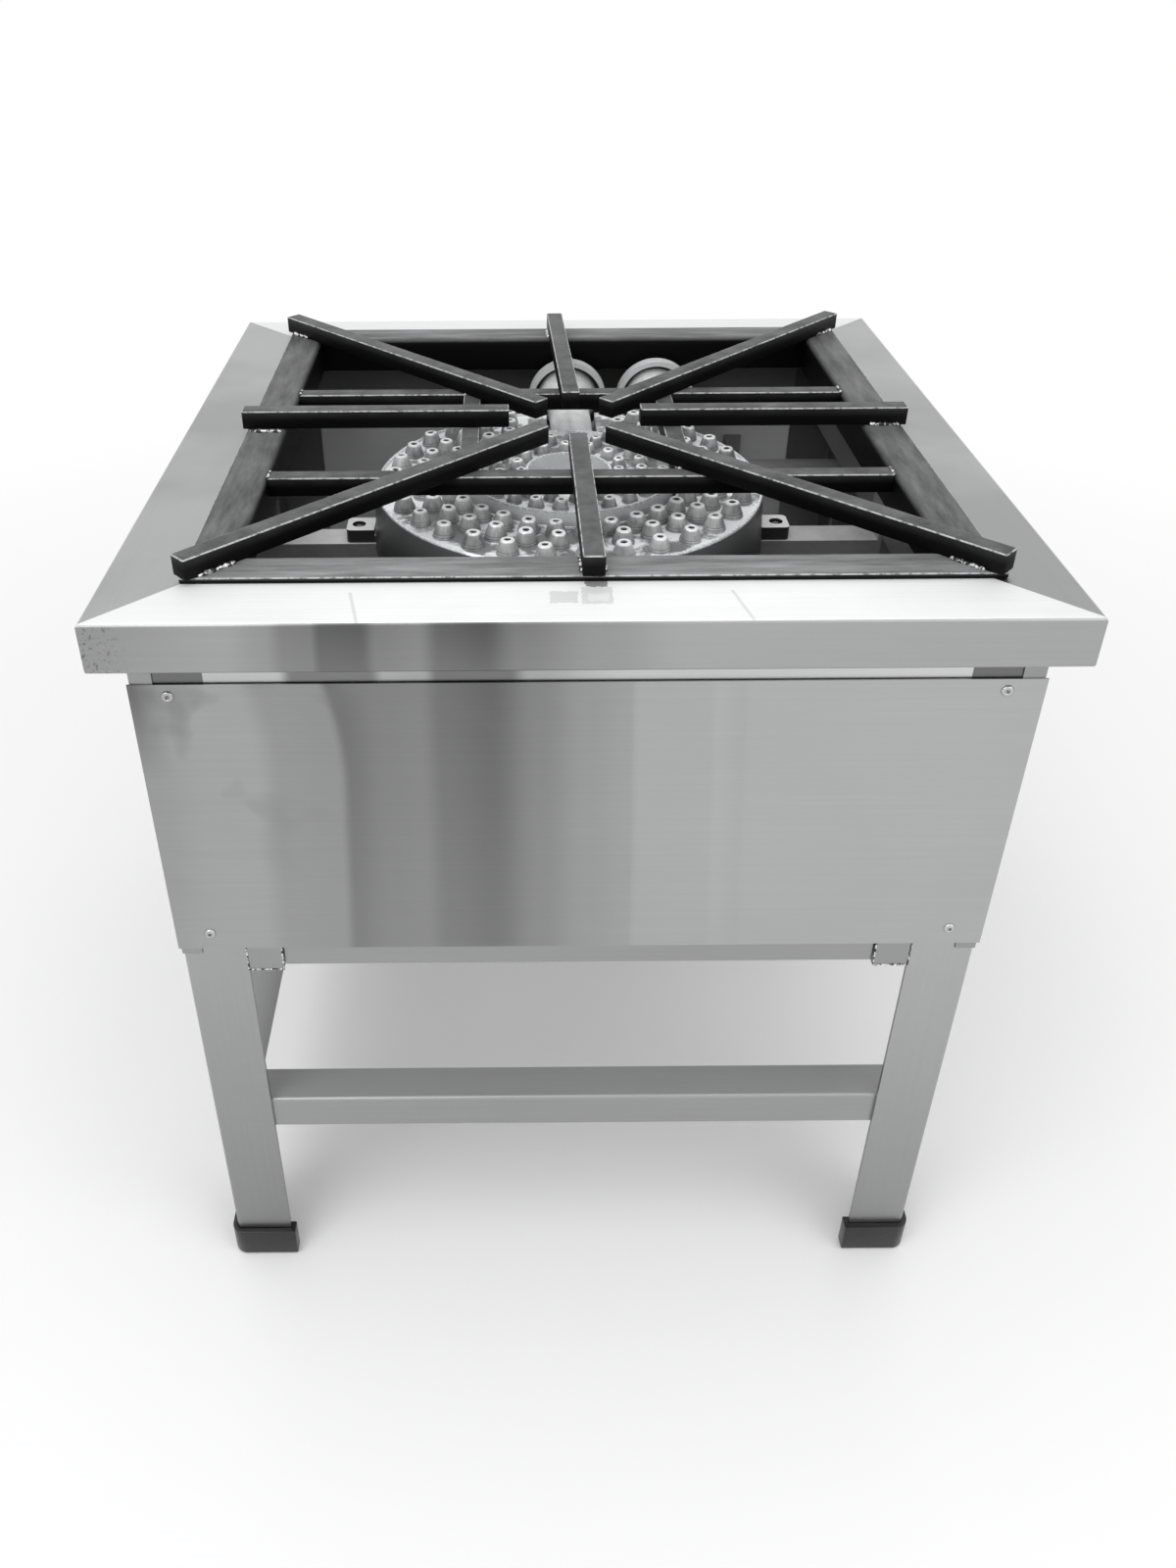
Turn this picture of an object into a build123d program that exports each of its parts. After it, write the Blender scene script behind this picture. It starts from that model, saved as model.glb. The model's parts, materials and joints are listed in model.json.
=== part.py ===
"""Single-burner stock pot range on an angle stand, in millimetres.

X runs left to right, Y from the blank side to the control side, Z up. The origin is the
middle of the footprint, on the floor.
"""

import os
from math import atan, atan2, cos, degrees, hypot, pi, radians, sin

from build123d import *

os.makedirs("parts", exist_ok=True)

# ---------------------------------------------------------------- driving dimensions
# overall
width = 600.0
depth = 600.0
top_height = 626.0
overhang = 17.0

# top, four bent strips mitred together
top_sheet = 1.5
top_border = 67.0
skirt_drop = 34.0
skirt_return = 8.0
opening_lip = 12.0
top_bend = 2.5

# legs and the frame between them
leg_size = 45.0
leg_sheet = 3.0
leg_bend_clear = 2.0
rail_drop = 60.0
rail_seat = 30.0
rail_sheet = 3.0
stretcher_size = 30.0
stretcher_sheet = 3.0
stretcher_top = 188.0

# rubber boots on the leg ends
boot_height = 30.0
boot_sole = 4.0
boot_outer_wall = 5.0
boot_inner_wall = 3.0
boot_end_wall = 4.0
boot_chamfer = 2.0
boot_slip = 0.2

# body sheets, hung below the top
panel_sheet = 1.0
front_panel_below_top = 52.0
front_panel_height = 220.0
side_panel_below_top = 36.0
side_panel_height = 242.0
side_return = 15.0
control_panel_below_top = 36.0
control_panel_height = 228.0

# blind rivets
rivet_head_radius = 4.0
rivet_head_height = 1.6
rivet_shank_radius = 2.0
rivet_hole_slip = 0.1
rivet_mandrel_radius = 1.2
rivet_sides = 12
rivet_head_draft = 45.0
rivet_edge_in = 24.0
rivet_top_in = 8.5
rivet_bottom_in = 14.0

# drip tray and its runners
runner_size = 25.0
runner_sheet = 2.0
runner_below_top = 270.0
tray_sheet = 1.0
tray_depth = 21.5
tray_end_drop = 5.0
tray_side_gap = 1.5
tray_flange = 14.0
tray_end_in = 2.0
tray_pull = 12.0

# burner support, hung below the top
side_rail_below_top = 58.0
side_rail_size = 30.0
side_rail_seat = 25.0
side_rail_sheet = 3.0
cross_rail_width = 28.0
cross_rail_depth = 25.0
cross_rail_sheet = 3.0
cross_rail_below_top = 88.0
cross_rail_tab_rise = 34.0
cross_rail_tab_corner = 8.0
rail_bolt_radius = 4.0
rail_bolt_head = 6.5
rail_bolt_head_height = 5.0
rail_bolt_slip = 0.3

# outer burner ring, on the cross rail
outer_ring_radius = 152.5
outer_ring_flare = 3.0
outer_ring_hole = 88.0
outer_ring_height = 49.0
outer_wall = 6.0
outer_base = 6.0
rim_width = 2.0
rim_height = 2.0
rim_round = 1.5
ear_length = 26.0
ear_width = 24.0
ear_height = 11.0
ear_corner = 4.0
ear_gap = 0.5
ear_hole_radius = 5.5
ear_hole_in = 9.5
stud_radius = 4.0
stud_dome = 3.0
stud_below_ear_top = 1.0

# inner burner ring
inner_ring_radius = 83.0
inner_ring_hole = 32.0
inner_ring_rise = 9.0
inner_ring_height = 37.0
inner_wall = 5.0
inner_base = 5.0
inner_pad_out = 58.0
inner_pad_length = 20.0
inner_pad_width = 24.0

# jets, in rows: radius of each row, number of jets in it, turn of its first one in degrees
outer_jet_rows = (98.6, 117.2, 137.4)
outer_jet_counts = (30, 31, 31)
outer_jet_turns = (10.2, 8.5, 5.4)
inner_jet_rows = (40.6, 57.3, 74.1)
inner_jet_counts = (13, 19, 25)
inner_jet_turns = (92.0, 84.0, 90.0)
outer_jet_base = 8.4
outer_jet_tip = 5.2
outer_jet_height = 11.5
inner_jet_base = 6.4
inner_jet_tip = 4.1
inner_jet_height = 8.8
jet_port = 1.8
jet_port_depth = 6.0
jet_sides = 8
jet_port_sides = 6
jet_to_tube = 2.0

# mixing tubes with their air bells
tube_radius = 18.5
tube_bore = 14.0
inner_tube_x = 8.0
outer_tube_x = 90.0
outer_tube_entry_rise = 25.5
tube_collar = 6.0
tube_above_base = 0.6
tube_notch_side = 3.0
tube_notch_below = 4.0
bell_mouth_in = 66.0
bell_radius = 36.0
bell_lip = 4.5
bell_lip_depth = 12.0
bell_groove = 3.5
bell_web = 5.0
bell_length = 52.0
bell_mouth_radius = 31.0

# injectors and air shutters
injector_radius = 6.0
injector_gap = 2.0
injector_length = 24.0
injector_bore = 3.0
injector_orifice = 0.9
injector_tip_wall = 3.0
elbow_size = 15.0
shutter_radius = 32.0
shutter_sheet = 1.5
shutter_hub_radius = 9.0
shutter_hub_length = 8.0
shutter_slip = 0.05
shutter_gap = 6.0
shutter_window_radius = 5.5
shutter_window_out = 20.0
shutter_windows = 4

# gas pipe, valves and knobs
manifold_radius = 10.65
manifold_bore = 8.0
manifold_below_bells = 78.1
manifold_in = 61.0
manifold_left = -50.0
inlet_stub = 15.0
inlet_thread = 13.0
inlet_thread_radius = 10.4
inlet_hole_slip = 1.5
plug_radius = 13.5
plug_length = 14.0
bracket_sheet = 3.0
bracket_rise = 14.0
bracket_foot = 16.0
bracket_spots = (-22.0, 172.0)
valve_radius = 11.0
valve_length = 32.0
bonnet_radius = 8.0
bonnet_length = 8.0
outlet_boss_radius = 7.0
outlet_boss_height = 18.0
supply_tube_radius = 4.0
supply_tube_bore = 3.0
stem_radius = 4.0
stem_depth = 20.0
stem_slip = 0.05
stem_panel_slip = 2.0
knob_radius = 21.0
knob_skirt = 6.0
knob_grip_width = 13.0
knob_grip_edge = 3.0
knob_gap = 1.5
knob_wall = 3.0
knob_front_in = 0.5

# grate
grate_angle = 30.0
grate_sheet = 4.0
grate_lap = 21.0
grate_x = 4.0
grate_y = 4.0
bar_size = 14.0
cross_bar_half = 86.5
cross_bar_shift = -7.5
link_bar_half = 78.5
link_bar_shift = -2.5
bar_overhang_x = 3.5
bar_overhang_y = 1.5
rear_bar_lean = 1.6
diagonal_bar_overhang = 4.0
straight_bar_gap = 44.0
diagonal_bar_gap = 36.0
side_bar_shift = 3.0

# ---------------------------------------------------------------- derived places
half_x = width / 2
half_y = depth / 2
panel_x = half_x - overhang
panel_y = half_y - overhang
leg_x = panel_x - 2 * panel_sheet
leg_y = panel_y - 2 * panel_sheet
side_face_x = leg_x + panel_sheet
side_face_y = leg_y + panel_sheet
leg_inner_x = leg_x - leg_sheet
leg_inner_y = leg_y - leg_sheet
leg_edge_x = leg_x - leg_size
leg_edge_y = leg_y - leg_size
frame_top = top_height - top_sheet
opening_x = half_x - top_border
opening_y = half_y - top_border

front_panel_top = top_height - front_panel_below_top
front_panel_bottom = front_panel_top - front_panel_height
side_panel_top = top_height - side_panel_below_top
side_panel_bottom = side_panel_top - side_panel_height
control_panel_top = top_height - control_panel_below_top
control_panel_bottom = control_panel_top - control_panel_height
runner_top = top_height - runner_below_top
side_rail_top = top_height - side_rail_below_top
cross_rail_top = top_height - cross_rail_below_top
cross_rail_tab_top = cross_rail_top + cross_rail_tab_rise
outer_ring_top = cross_rail_top + outer_ring_height
inner_ring_top = outer_ring_top + inner_ring_rise
outer_tube_entry_height = cross_rail_top + outer_tube_entry_rise

outer_foot_radius = outer_ring_radius + outer_ring_flare
ear_end = outer_ring_radius + ear_length
outer_plate_z = outer_ring_top - rim_height
inner_plate_z = inner_ring_top - rim_height
inner_ring_bottom = inner_ring_top - inner_ring_height
outer_body_bottom = cross_rail_top + outer_base
inner_tube_height = inner_ring_bottom + tube_radius + tube_above_base
bell_height = inner_tube_height
rail_end_x = leg_inner_x - side_rail_seat

grate_top = top_height + grate_sheet
pot_height = grate_top + bar_size
grate_outer_x = opening_x + grate_lap
grate_outer_y = opening_y + grate_lap
grate_inner_x = grate_outer_x - grate_angle
grate_inner_y = grate_outer_y - grate_angle

runner_outer_x = leg_edge_x
runner_inner_x = runner_outer_x - runner_size
control_face_y = panel_y
control_back_y = control_face_y - panel_sheet
rivet_x = panel_x - rivet_edge_in
rivet_y = panel_y - rivet_edge_in
rivet_high = front_panel_top - rivet_top_in
rivet_low = front_panel_bottom + rivet_bottom_in

bell_mouth_y = control_face_y - bell_mouth_in
manifold_y = control_face_y - manifold_in
manifold_height = bell_height - manifold_below_bells
injector_tip_y = bell_mouth_y + injector_gap
elbow_y = injector_tip_y + injector_length + elbow_size / 2
valve_start_y = manifold_y + manifold_radius
valve_end_y = valve_start_y + valve_length
bonnet_end_y = valve_end_y + bonnet_length
stem_start_y = bonnet_end_y - stem_depth
knob_back_y = control_face_y + knob_gap
knob_front_y = half_y - knob_front_in

x_axis = Vector(1, 0, 0)
y_axis = Vector(0, 1, 0)
z_axis = Vector(0, 0, 1)


# ---------------------------------------------------------------- building blocks
def block(x_span, y_span, z_span):
    """A box between two limits along each axis, given in either order."""
    spans = [sorted(span) for span in (x_span, y_span, z_span)]
    sizes = [high - low for low, high in spans]
    return Pos(*[low for low, high in spans]) * Box(*sizes, align=(Align.MIN,) * 3)


def rod(start, direction, length, radius):
    """A round bar from start along direction."""
    plane = Plane(origin=start, z_dir=direction)
    return plane * Cylinder(radius, length, align=(Align.CENTER, Align.CENTER, Align.MIN))


def ring(outer, inner, low, high):
    """An upright ring about the Z axis."""
    return Pos(0, 0, low) * extrude(Circle(outer) - Circle(inner), high - low)


def angle_section(first_size, second_size, thickness):
    """An L with its outer corner at the origin and both corners of the bend rounded."""
    outline = Polyline(
        (0, 0),
        (first_size, 0),
        (first_size, thickness),
        (thickness, thickness),
        (thickness, second_size),
        (0, second_size),
        close=True,
    )
    section = make_face(outline)
    bend = section.vertices().sort_by(lambda v: v.X + v.Y)
    section = fillet(bend[0], thickness)
    inside = section.vertices().sort_by(lambda v: hypot(v.X - thickness, v.Y - thickness))
    return fillet(inside[0], thickness / 2)


def angle_bar(middle, first, second, first_size, second_size, thickness, length):
    """An angle with its corner line centred on middle and flanges along first and second."""
    plane = Plane(origin=middle, x_dir=first, z_dir=Vector(first).cross(Vector(second)))
    section = plane * angle_section(first_size, second_size, thickness)
    return extrude(section, length / 2, both=True)


def mitre_wedge(half_length, half_span, reach, low, high):
    """The plan of one side of a mitred square, on the -Y side."""
    plan = Polyline(
        (-half_length, -half_span),
        (half_length, -half_span),
        (half_length - reach, -half_span + reach),
        (-half_length + reach, -half_span + reach),
        close=True,
    )
    return Pos(0, 0, low) * extrude(make_face(plan), high - low)


def four_sides(make_side, side_x, side_y):
    """The same side piece on all four sides of a rectangle, by name."""
    return {
        "front": make_side(side_x, side_y),
        "right": Rot(0, 0, 90) * make_side(side_y, side_x),
        "rear": Rot(0, 0, 180) * make_side(side_x, side_y),
        "left": Rot(0, 0, -90) * make_side(side_y, side_x),
    }


def save(name, shape):
    """Write a piece, or a list of like pieces, to its own file."""
    if isinstance(shape, list):
        shape = Compound(children=[piece for item in shape for piece in item.solids()])
    export_step(shape, f"parts/{name}.step")


# ---------------------------------------------------------------- stand
corners = {
    "front_left": (-1, -1),
    "front_right": (1, -1),
    "rear_left": (-1, 1),
    "rear_right": (1, 1),
}


def rivet_holes():
    """Round cuts for every blind rivet, through sheets and legs alike."""
    radius = rivet_shank_radius + rivet_hole_slip
    through = 2 * leg_sheet + 4 * panel_sheet
    holes = []
    for side_x in (-1, 1):
        for height in (rivet_high, rivet_low):
            for side_y in (-1, 1):
                start = (side_x * rivet_x, side_y * (panel_y + panel_sheet), height)
                holes.append(rod(start, (0, -side_y, 0), through, radius))
                start = (side_x * (panel_x + panel_sheet), side_y * rivet_y, height)
                holes.append(rod(start, (-side_x, 0, 0), through, radius))
    return holes


def make_leg(side_x, side_y):
    middle = (side_x * leg_x, side_y * leg_y, (boot_sole + frame_top) / 2)
    leg = angle_bar(
        middle,
        (-side_x, 0, 0),
        (0, -side_y, 0),
        leg_size,
        leg_size,
        leg_sheet,
        frame_top - boot_sole,
    )
    return leg - rivet_holes()


def make_boot(side_x, side_y):
    arm = boot_outer_wall + leg_sheet + boot_inner_wall
    size = boot_outer_wall + leg_size + boot_end_wall
    corner = (side_x * (leg_x + boot_outer_wall), side_y * (leg_y + boot_outer_wall))
    flanges = ((-side_x, 0, 0), (0, -side_y, 0))
    boot = angle_bar((*corner, boot_height / 2), *flanges, size, size, arm, boot_height)
    boot = chamfer(boot.edges().group_by(Axis.Z)[0], boot_chamfer)
    socket_depth = boot_height - boot_sole
    socket = angle_bar(
        (
            side_x * (leg_x + boot_slip),
            side_y * (leg_y + boot_slip),
            boot_sole + socket_depth / 2,
        ),
        *flanges,
        leg_size + 2 * boot_slip,
        leg_size + 2 * boot_slip,
        leg_sheet + 2 * boot_slip,
        socket_depth,
    )
    return boot - socket


for corner, sides in corners.items():
    save(f"leg_{corner}", make_leg(*sides))
    save(f"foot_boot_{corner}", make_boot(*sides))


def make_upper_rail(side_x, side_y):
    """The rail between two legs that the top sits on, for the -Y side."""
    length = 2 * (side_x - leg_size)
    return angle_bar(
        (0, -side_y, frame_top), (0, 1, 0), (0, 0, -1), rail_seat, rail_drop, rail_sheet, length
    )


for side, rail in four_sides(make_upper_rail, leg_x, leg_y).items():
    save(f"upper_rail_{side}", rail)

for side, sign in (("front", -1), ("rear", 1)):
    cross_stretcher = angle_bar(
        (0, sign * leg_inner_y, stretcher_top),
        (0, -sign, 0),
        (0, 0, -1),
        stretcher_size,
        stretcher_size,
        stretcher_sheet,
        2 * (leg_inner_x - leg_bend_clear),
    )
    save(f"stretcher_{side}", cross_stretcher)

left_stretcher = angle_bar(
    (-leg_inner_x, 0, stretcher_top),
    (1, 0, 0),
    (0, 0, -1),
    stretcher_size,
    stretcher_size,
    stretcher_sheet,
    2 * (leg_inner_y - stretcher_size),
)
save("stretcher_left", left_stretcher)


# ---------------------------------------------------------------- top
def make_top_strip(side_x, side_y):
    """Skirt, top and opening lip bent from one strip, for the -Y side."""
    half = top_sheet / 2
    skirt_bottom = top_height - skirt_drop
    bends = FilletPolyline(
        (-side_y + skirt_return, skirt_bottom + half),
        (-side_y + half, skirt_bottom + half),
        (-side_y + half, top_height - half),
        (-side_y + top_border - half, top_height - half),
        (-side_y + top_border - half, top_height - opening_lip),
        radius=top_bend - half,
    )
    section = Plane.YZ * trace(bends, top_sheet)
    strip = extrude(section, side_x, both=True)
    wedge = mitre_wedge(side_x, side_y, top_border, top_height - skirt_drop, top_height)
    return strip & wedge


for side, strip in four_sides(make_top_strip, half_x, half_y).items():
    save(f"top_strip_{side}", strip)


# ---------------------------------------------------------------- body sheets
front_panel = block(
    (-panel_x, panel_x), (-panel_y, -panel_y + panel_sheet), (front_panel_bottom, front_panel_top)
)
save("front_panel", front_panel - rivet_holes())


def make_side_panel(side_x):
    """Side sheet with both ends folded round the legs."""
    half = panel_sheet / 2
    face = side_x * (side_face_x - half)
    folded = side_x * (side_face_x - side_return)
    fold_y = side_face_y - half
    bends = FilletPolyline(
        (folded, -fold_y), (face, -fold_y), (face, fold_y), (folded, fold_y), radius=1.5 * panel_sheet
    )
    height = side_panel_top - side_panel_bottom
    return Pos(0, 0, side_panel_bottom) * extrude(trace(bends, panel_sheet), height)


inlet_hole = rod(
    (side_face_x - 2 * panel_sheet, manifold_y, manifold_height),
    x_axis,
    3 * panel_sheet,
    manifold_radius + inlet_hole_slip,
)
save("side_panel_left", make_side_panel(-1) - rivet_holes())
save("side_panel_right", make_side_panel(1) - rivet_holes() - inlet_hole)

control_panel = block(
    (-panel_x, panel_x),
    (control_back_y, control_face_y),
    (control_panel_bottom, control_panel_top),
)
stem_holes = [
    rod((x, control_back_y, manifold_height), y_axis, panel_sheet, stem_radius + stem_panel_slip)
    for x in (inner_tube_x, outer_tube_x)
]
save("control_panel", control_panel - rivet_holes() - stem_holes)


def make_rivet(spot, outward, grip):
    """Blind rivet: low head, shank through the grip and the hole its mandrel leaves."""
    head = extrude(
        RegularPolygon(rivet_head_radius, rivet_sides), rivet_head_height, taper=rivet_head_draft
    )
    mandrel_depth = rivet_head_height / 2
    mandrel = Pos(0, 0, rivet_head_height - mandrel_depth) * extrude(
        RegularPolygon(rivet_mandrel_radius, jet_port_sides), mandrel_depth
    )
    shank = Pos(0, 0, -grip) * extrude(RegularPolygon(rivet_shank_radius, jet_sides), grip)
    return Plane(origin=spot, z_dir=outward) * (head + shank - mandrel)


rivets = []
for side_x in (-1, 1):
    for height in (rivet_high, rivet_low):
        for side_y in (-1, 1):
            spot = (side_x * rivet_x, side_y * panel_y, height)
            rivets.append(make_rivet(spot, (0, side_y, 0), leg_sheet + 2 * panel_sheet))
            spot = (side_x * side_face_x, side_y * rivet_y, height)
            rivets.append(make_rivet(spot, (side_x, 0, 0), leg_sheet + panel_sheet))
save("panel_rivets", rivets)


# ---------------------------------------------------------------- drip tray
def make_runner(side_x):
    """Square tube that the tray slides on, between the leg edges."""
    outer = Rectangle(runner_size, runner_size)
    bore = Rectangle(runner_size - 2 * runner_sheet, runner_size - 2 * runner_sheet)
    middle_x = side_x * (runner_outer_x - runner_size / 2)
    plane = Plane(origin=(middle_x, 0, runner_top - runner_size / 2), x_dir=x_axis, z_dir=-y_axis)
    tube = extrude(plane * (outer - bore), leg_y, both=True)
    end_cap = block(
        (middle_x - runner_size / 2, middle_x + runner_size / 2),
        (-leg_y, -leg_y + runner_sheet),
        (runner_top - runner_size, runner_top),
    )
    return tube + end_cap


save("tray_runner_left", make_runner(-1))
save("tray_runner_right", make_runner(1))

tray_x = runner_inner_x - tray_side_gap
tray_y = leg_y - tray_end_in
tray_floor = runner_top - tray_depth
tray_end_top = runner_top - tray_end_drop
tray_section = trace(
    FilletPolyline(
        (-tray_x - tray_flange, runner_top + tray_sheet / 2),
        (-tray_x + tray_sheet / 2, runner_top + tray_sheet / 2),
        (-tray_x + tray_sheet / 2, tray_floor + tray_sheet / 2),
        (tray_x - tray_sheet / 2, tray_floor + tray_sheet / 2),
        (tray_x - tray_sheet / 2, runner_top + tray_sheet / 2),
        (tray_x + tray_flange, runner_top + tray_sheet / 2),
        radius=tray_sheet,
    ),
    tray_sheet,
)
tray_pan = extrude(Plane(origin=(0, 0, 0), x_dir=x_axis, z_dir=-y_axis) * tray_section, tray_y, both=True)
tray_ends = [
    block((-tray_x, tray_x), (sign * tray_y, sign * (tray_y - tray_sheet)), (tray_floor, tray_end_top))
    for sign in (-1, 1)
]
pull_lip = block(
    (-tray_x, tray_x), (tray_y, tray_y + tray_pull), (tray_floor, tray_floor + tray_sheet)
)
pull_hem = block(
    (-tray_x, tray_x),
    (tray_y + tray_pull - tray_sheet, tray_y + tray_pull),
    (tray_floor, tray_floor + tray_depth / 2),
)
save("drip_tray", tray_pan + tray_ends + pull_lip + pull_hem)


# ---------------------------------------------------------------- burner support
def make_side_rail(side_x):
    """Angle along one side whose upright flange the cross rail bolts to."""
    length = 2 * (leg_inner_y - leg_bend_clear)
    rail = angle_bar(
        (side_x * rail_end_x, 0, side_rail_top - side_rail_size),
        (side_x, 0, 0),
        (0, 0, 1),
        side_rail_seat,
        side_rail_size,
        side_rail_sheet,
        length,
    )
    return rail - rail_bolt_holes()


def rail_bolt_spots():
    return [(side_x * rail_end_x, 0, (cross_rail_top + side_rail_top) / 2) for side_x in (-1, 1)]


def rail_bolt_holes():
    reach = cross_rail_sheet + side_rail_sheet
    return [
        rod((x - reach, y, z), x_axis, 2 * reach, rail_bolt_radius + rail_bolt_slip)
        for x, y, z in rail_bolt_spots()
    ]


save("burner_side_rails", [make_side_rail(-1), make_side_rail(1)])

channel_half = cross_rail_width / 2
channel = block(
    (-rail_end_x, rail_end_x),
    (-channel_half, channel_half),
    (cross_rail_top - cross_rail_depth, cross_rail_top),
) - block(
    (-rail_end_x, rail_end_x),
    (-channel_half + cross_rail_sheet, channel_half - cross_rail_sheet),
    (cross_rail_top - cross_rail_depth, cross_rail_top - cross_rail_sheet),
)
tab_height = cross_rail_tab_top - cross_rail_top + cross_rail_depth
tab_face = Rectangle(cross_rail_width, tab_height, align=(Align.CENTER, Align.MIN))
tab_face = fillet(tab_face.vertices().group_by(Axis.Y)[-1], cross_rail_tab_corner)
cross_rail = channel
for side_x in (-1, 1):
    tab_plane = Plane(
        origin=(side_x * rail_end_x, 0, cross_rail_top - cross_rail_depth),
        x_dir=(0, -side_x, 0),
        z_dir=(-side_x, 0, 0),
    )
    cross_rail += extrude(tab_plane * tab_face, cross_rail_sheet)
save("burner_cross_rail", cross_rail - rail_bolt_holes())


def make_rail_bolt(spot):
    """Hexagon bolt through the rail tab and the side rail, with its nut."""
    x, y, z = spot
    side_x = 1 if x > 0 else -1
    inner_face = x - side_x * cross_rail_sheet
    outer_face = x + side_x * side_rail_sheet
    inward = Plane(origin=(inner_face, y, z), z_dir=(-side_x, 0, 0))
    head = inward * extrude(RegularPolygon(rail_bolt_head, 6), rail_bolt_head_height)
    outward = Plane(origin=(outer_face, y, z), z_dir=(side_x, 0, 0))
    nut = outward * extrude(RegularPolygon(rail_bolt_head, 6), rail_bolt_head_height)
    shank_length = cross_rail_sheet + side_rail_sheet + 1.4 * rail_bolt_head_height
    shank = rod((inner_face, y, z), (side_x, 0, 0), shank_length, rail_bolt_radius)
    return head + shank + nut


save("cross_rail_bolts", [make_rail_bolt(spot) for spot in rail_bolt_spots()])


# ---------------------------------------------------------------- mixing tubes
def bell_profile(tube_start):
    """Half section of a mixing tube from tube_start to its bell, as (radius, distance along Y)."""
    neck_end = bell_mouth_y - bell_length
    web_front = bell_mouth_y - bell_web
    groove_outer = bell_radius - bell_lip
    groove_inner = groove_outer - bell_groove
    flare_mid = (tube_radius + 0.22 * (groove_inner - tube_radius), neck_end + 0.58 * bell_length)
    bore_mid = (tube_bore + 0.3 * (bell_mouth_radius - tube_bore), bell_mouth_y - 0.36 * bell_length)
    return make_face(
        Polyline((tube_bore, tube_start), (tube_radius, tube_start), (tube_radius, neck_end))
        + ThreePointArc((tube_radius, neck_end), flare_mid, (groove_inner, web_front))
        + Polyline(
            (groove_inner, web_front),
            (groove_outer, web_front),
            (groove_outer, bell_mouth_y - bell_lip_depth),
            (bell_radius, bell_mouth_y - bell_lip_depth),
            (bell_radius, bell_mouth_y),
            (bell_mouth_radius, bell_mouth_y),
        )
        + ThreePointArc((bell_mouth_radius, bell_mouth_y), bore_mid, (tube_bore, neck_end))
        + Line((tube_bore, neck_end), (tube_bore, tube_start))
    )


def make_bell(x, tube_start):
    plane = Plane(origin=(x, 0, bell_height), x_dir=z_axis, z_dir=-x_axis)
    return revolve(plane * bell_profile(tube_start), Axis((x, 0, bell_height), y_axis))


neck_y = bell_mouth_y - bell_length


# ---------------------------------------------------------------- outer burner
def ring_form(foot_radius, top_radius, low, high):
    """The outside of a ring casting, widening to its foot, with its top edge rounded."""
    draft = degrees(atan((foot_radius - top_radius) / (high - low)))
    form = Pos(0, 0, low) * extrude(Circle(foot_radius), high - low, taper=draft)
    return fillet(form.edges().group_by(Axis.Z)[-1], rim_round)


def ring_head(form, top_radius, hole, low, high):
    """A ring casting with a hole through it and a shallow tray for its jets."""
    tray = ring(top_radius - rim_width, hole + rim_width, high - rim_height, high)
    return form - rod((0, 0, low), z_axis, high - low, hole) - tray


notch_half = tube_radius + tube_notch_side
notch_floor = inner_tube_height - tube_radius - tube_notch_below


def notch(grow):
    """Gap at the back of the outer ring that the inner mixing tube crosses in."""
    return block(
        (inner_tube_x - notch_half - grow, inner_tube_x + notch_half + grow),
        (0, outer_foot_radius + 1),
        (notch_floor - grow, outer_ring_top + 1),
    )


outer_form = ring_form(outer_foot_radius, outer_ring_radius, outer_body_bottom, outer_ring_top)
outer_shell = ring_head(
    outer_form, outer_ring_radius, outer_ring_hole, outer_body_bottom, outer_ring_top
)
outer_chamber = ring(
    outer_ring_radius - outer_wall,
    outer_ring_hole + outer_wall,
    outer_body_bottom,
    outer_plate_z - outer_wall,
)

entry_y = (outer_ring_radius**2 - outer_tube_x**2) ** 0.5
knee = Vector(outer_tube_x, neck_y - tube_collar, bell_height)
entry = Vector(outer_tube_x, entry_y - outer_wall, outer_tube_entry_height)
slope = entry - knee
entry_tube = rod(knee, slope, slope.length, tube_radius) + Pos(*knee) * Sphere(tube_radius)
entry_bore = rod(knee, slope, slope.length + outer_wall, tube_bore) + Pos(*knee) * Sphere(tube_bore)
past_knee = block((-half_x, half_x), (knee.Y, half_y), (0, top_height))
outer_head = outer_shell - notch(0) - (outer_chamber - notch(outer_wall)) - entry_bore
save("outer_burner_head", outer_head)
sloped_neck = entry_tube - outer_form - past_knee - entry_bore
save("outer_mixing_tube", [sloped_neck, make_bell(outer_tube_x, knee.Y)])

ear_x = ear_end - ear_hole_in


def ear_block(start, height):
    """Part of the +X ear from start outwards, its two outer corners rounded."""
    plan = Pos((start + ear_end) / 2, 0) * Rectangle(ear_end - start, ear_width)
    plan = fillet(plan.vertices().group_by(Axis.X)[-1], ear_corner)
    return Pos(0, 0, cross_rail_top) * extrude(plan, height)


ear = ear_block(outer_ring_radius - outer_wall, outer_base)
ear += ear_block(outer_foot_radius + ear_gap, ear_height)
ear_hole = rod((ear_x, 0, cross_rail_top), z_axis, ear_height, ear_hole_radius)
outer_base_plate = ring(outer_foot_radius, outer_ring_hole, cross_rail_top, outer_body_bottom)
for turn in (0, 180):
    outer_base_plate = outer_base_plate + Rot(0, 0, turn) * ear - Rot(0, 0, turn) * ear_hole
save("outer_burner_base", outer_base_plate)

stud = rod((ear_x, 0, cross_rail_top), z_axis, ear_height - stud_below_ear_top, stud_radius)
stud = fillet(stud.edges().group_by(Axis.Z)[-1], stud_dome)
save("burner_locating_studs", [Rot(0, 0, turn) * stud for turn in (0, 180)])

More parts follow.
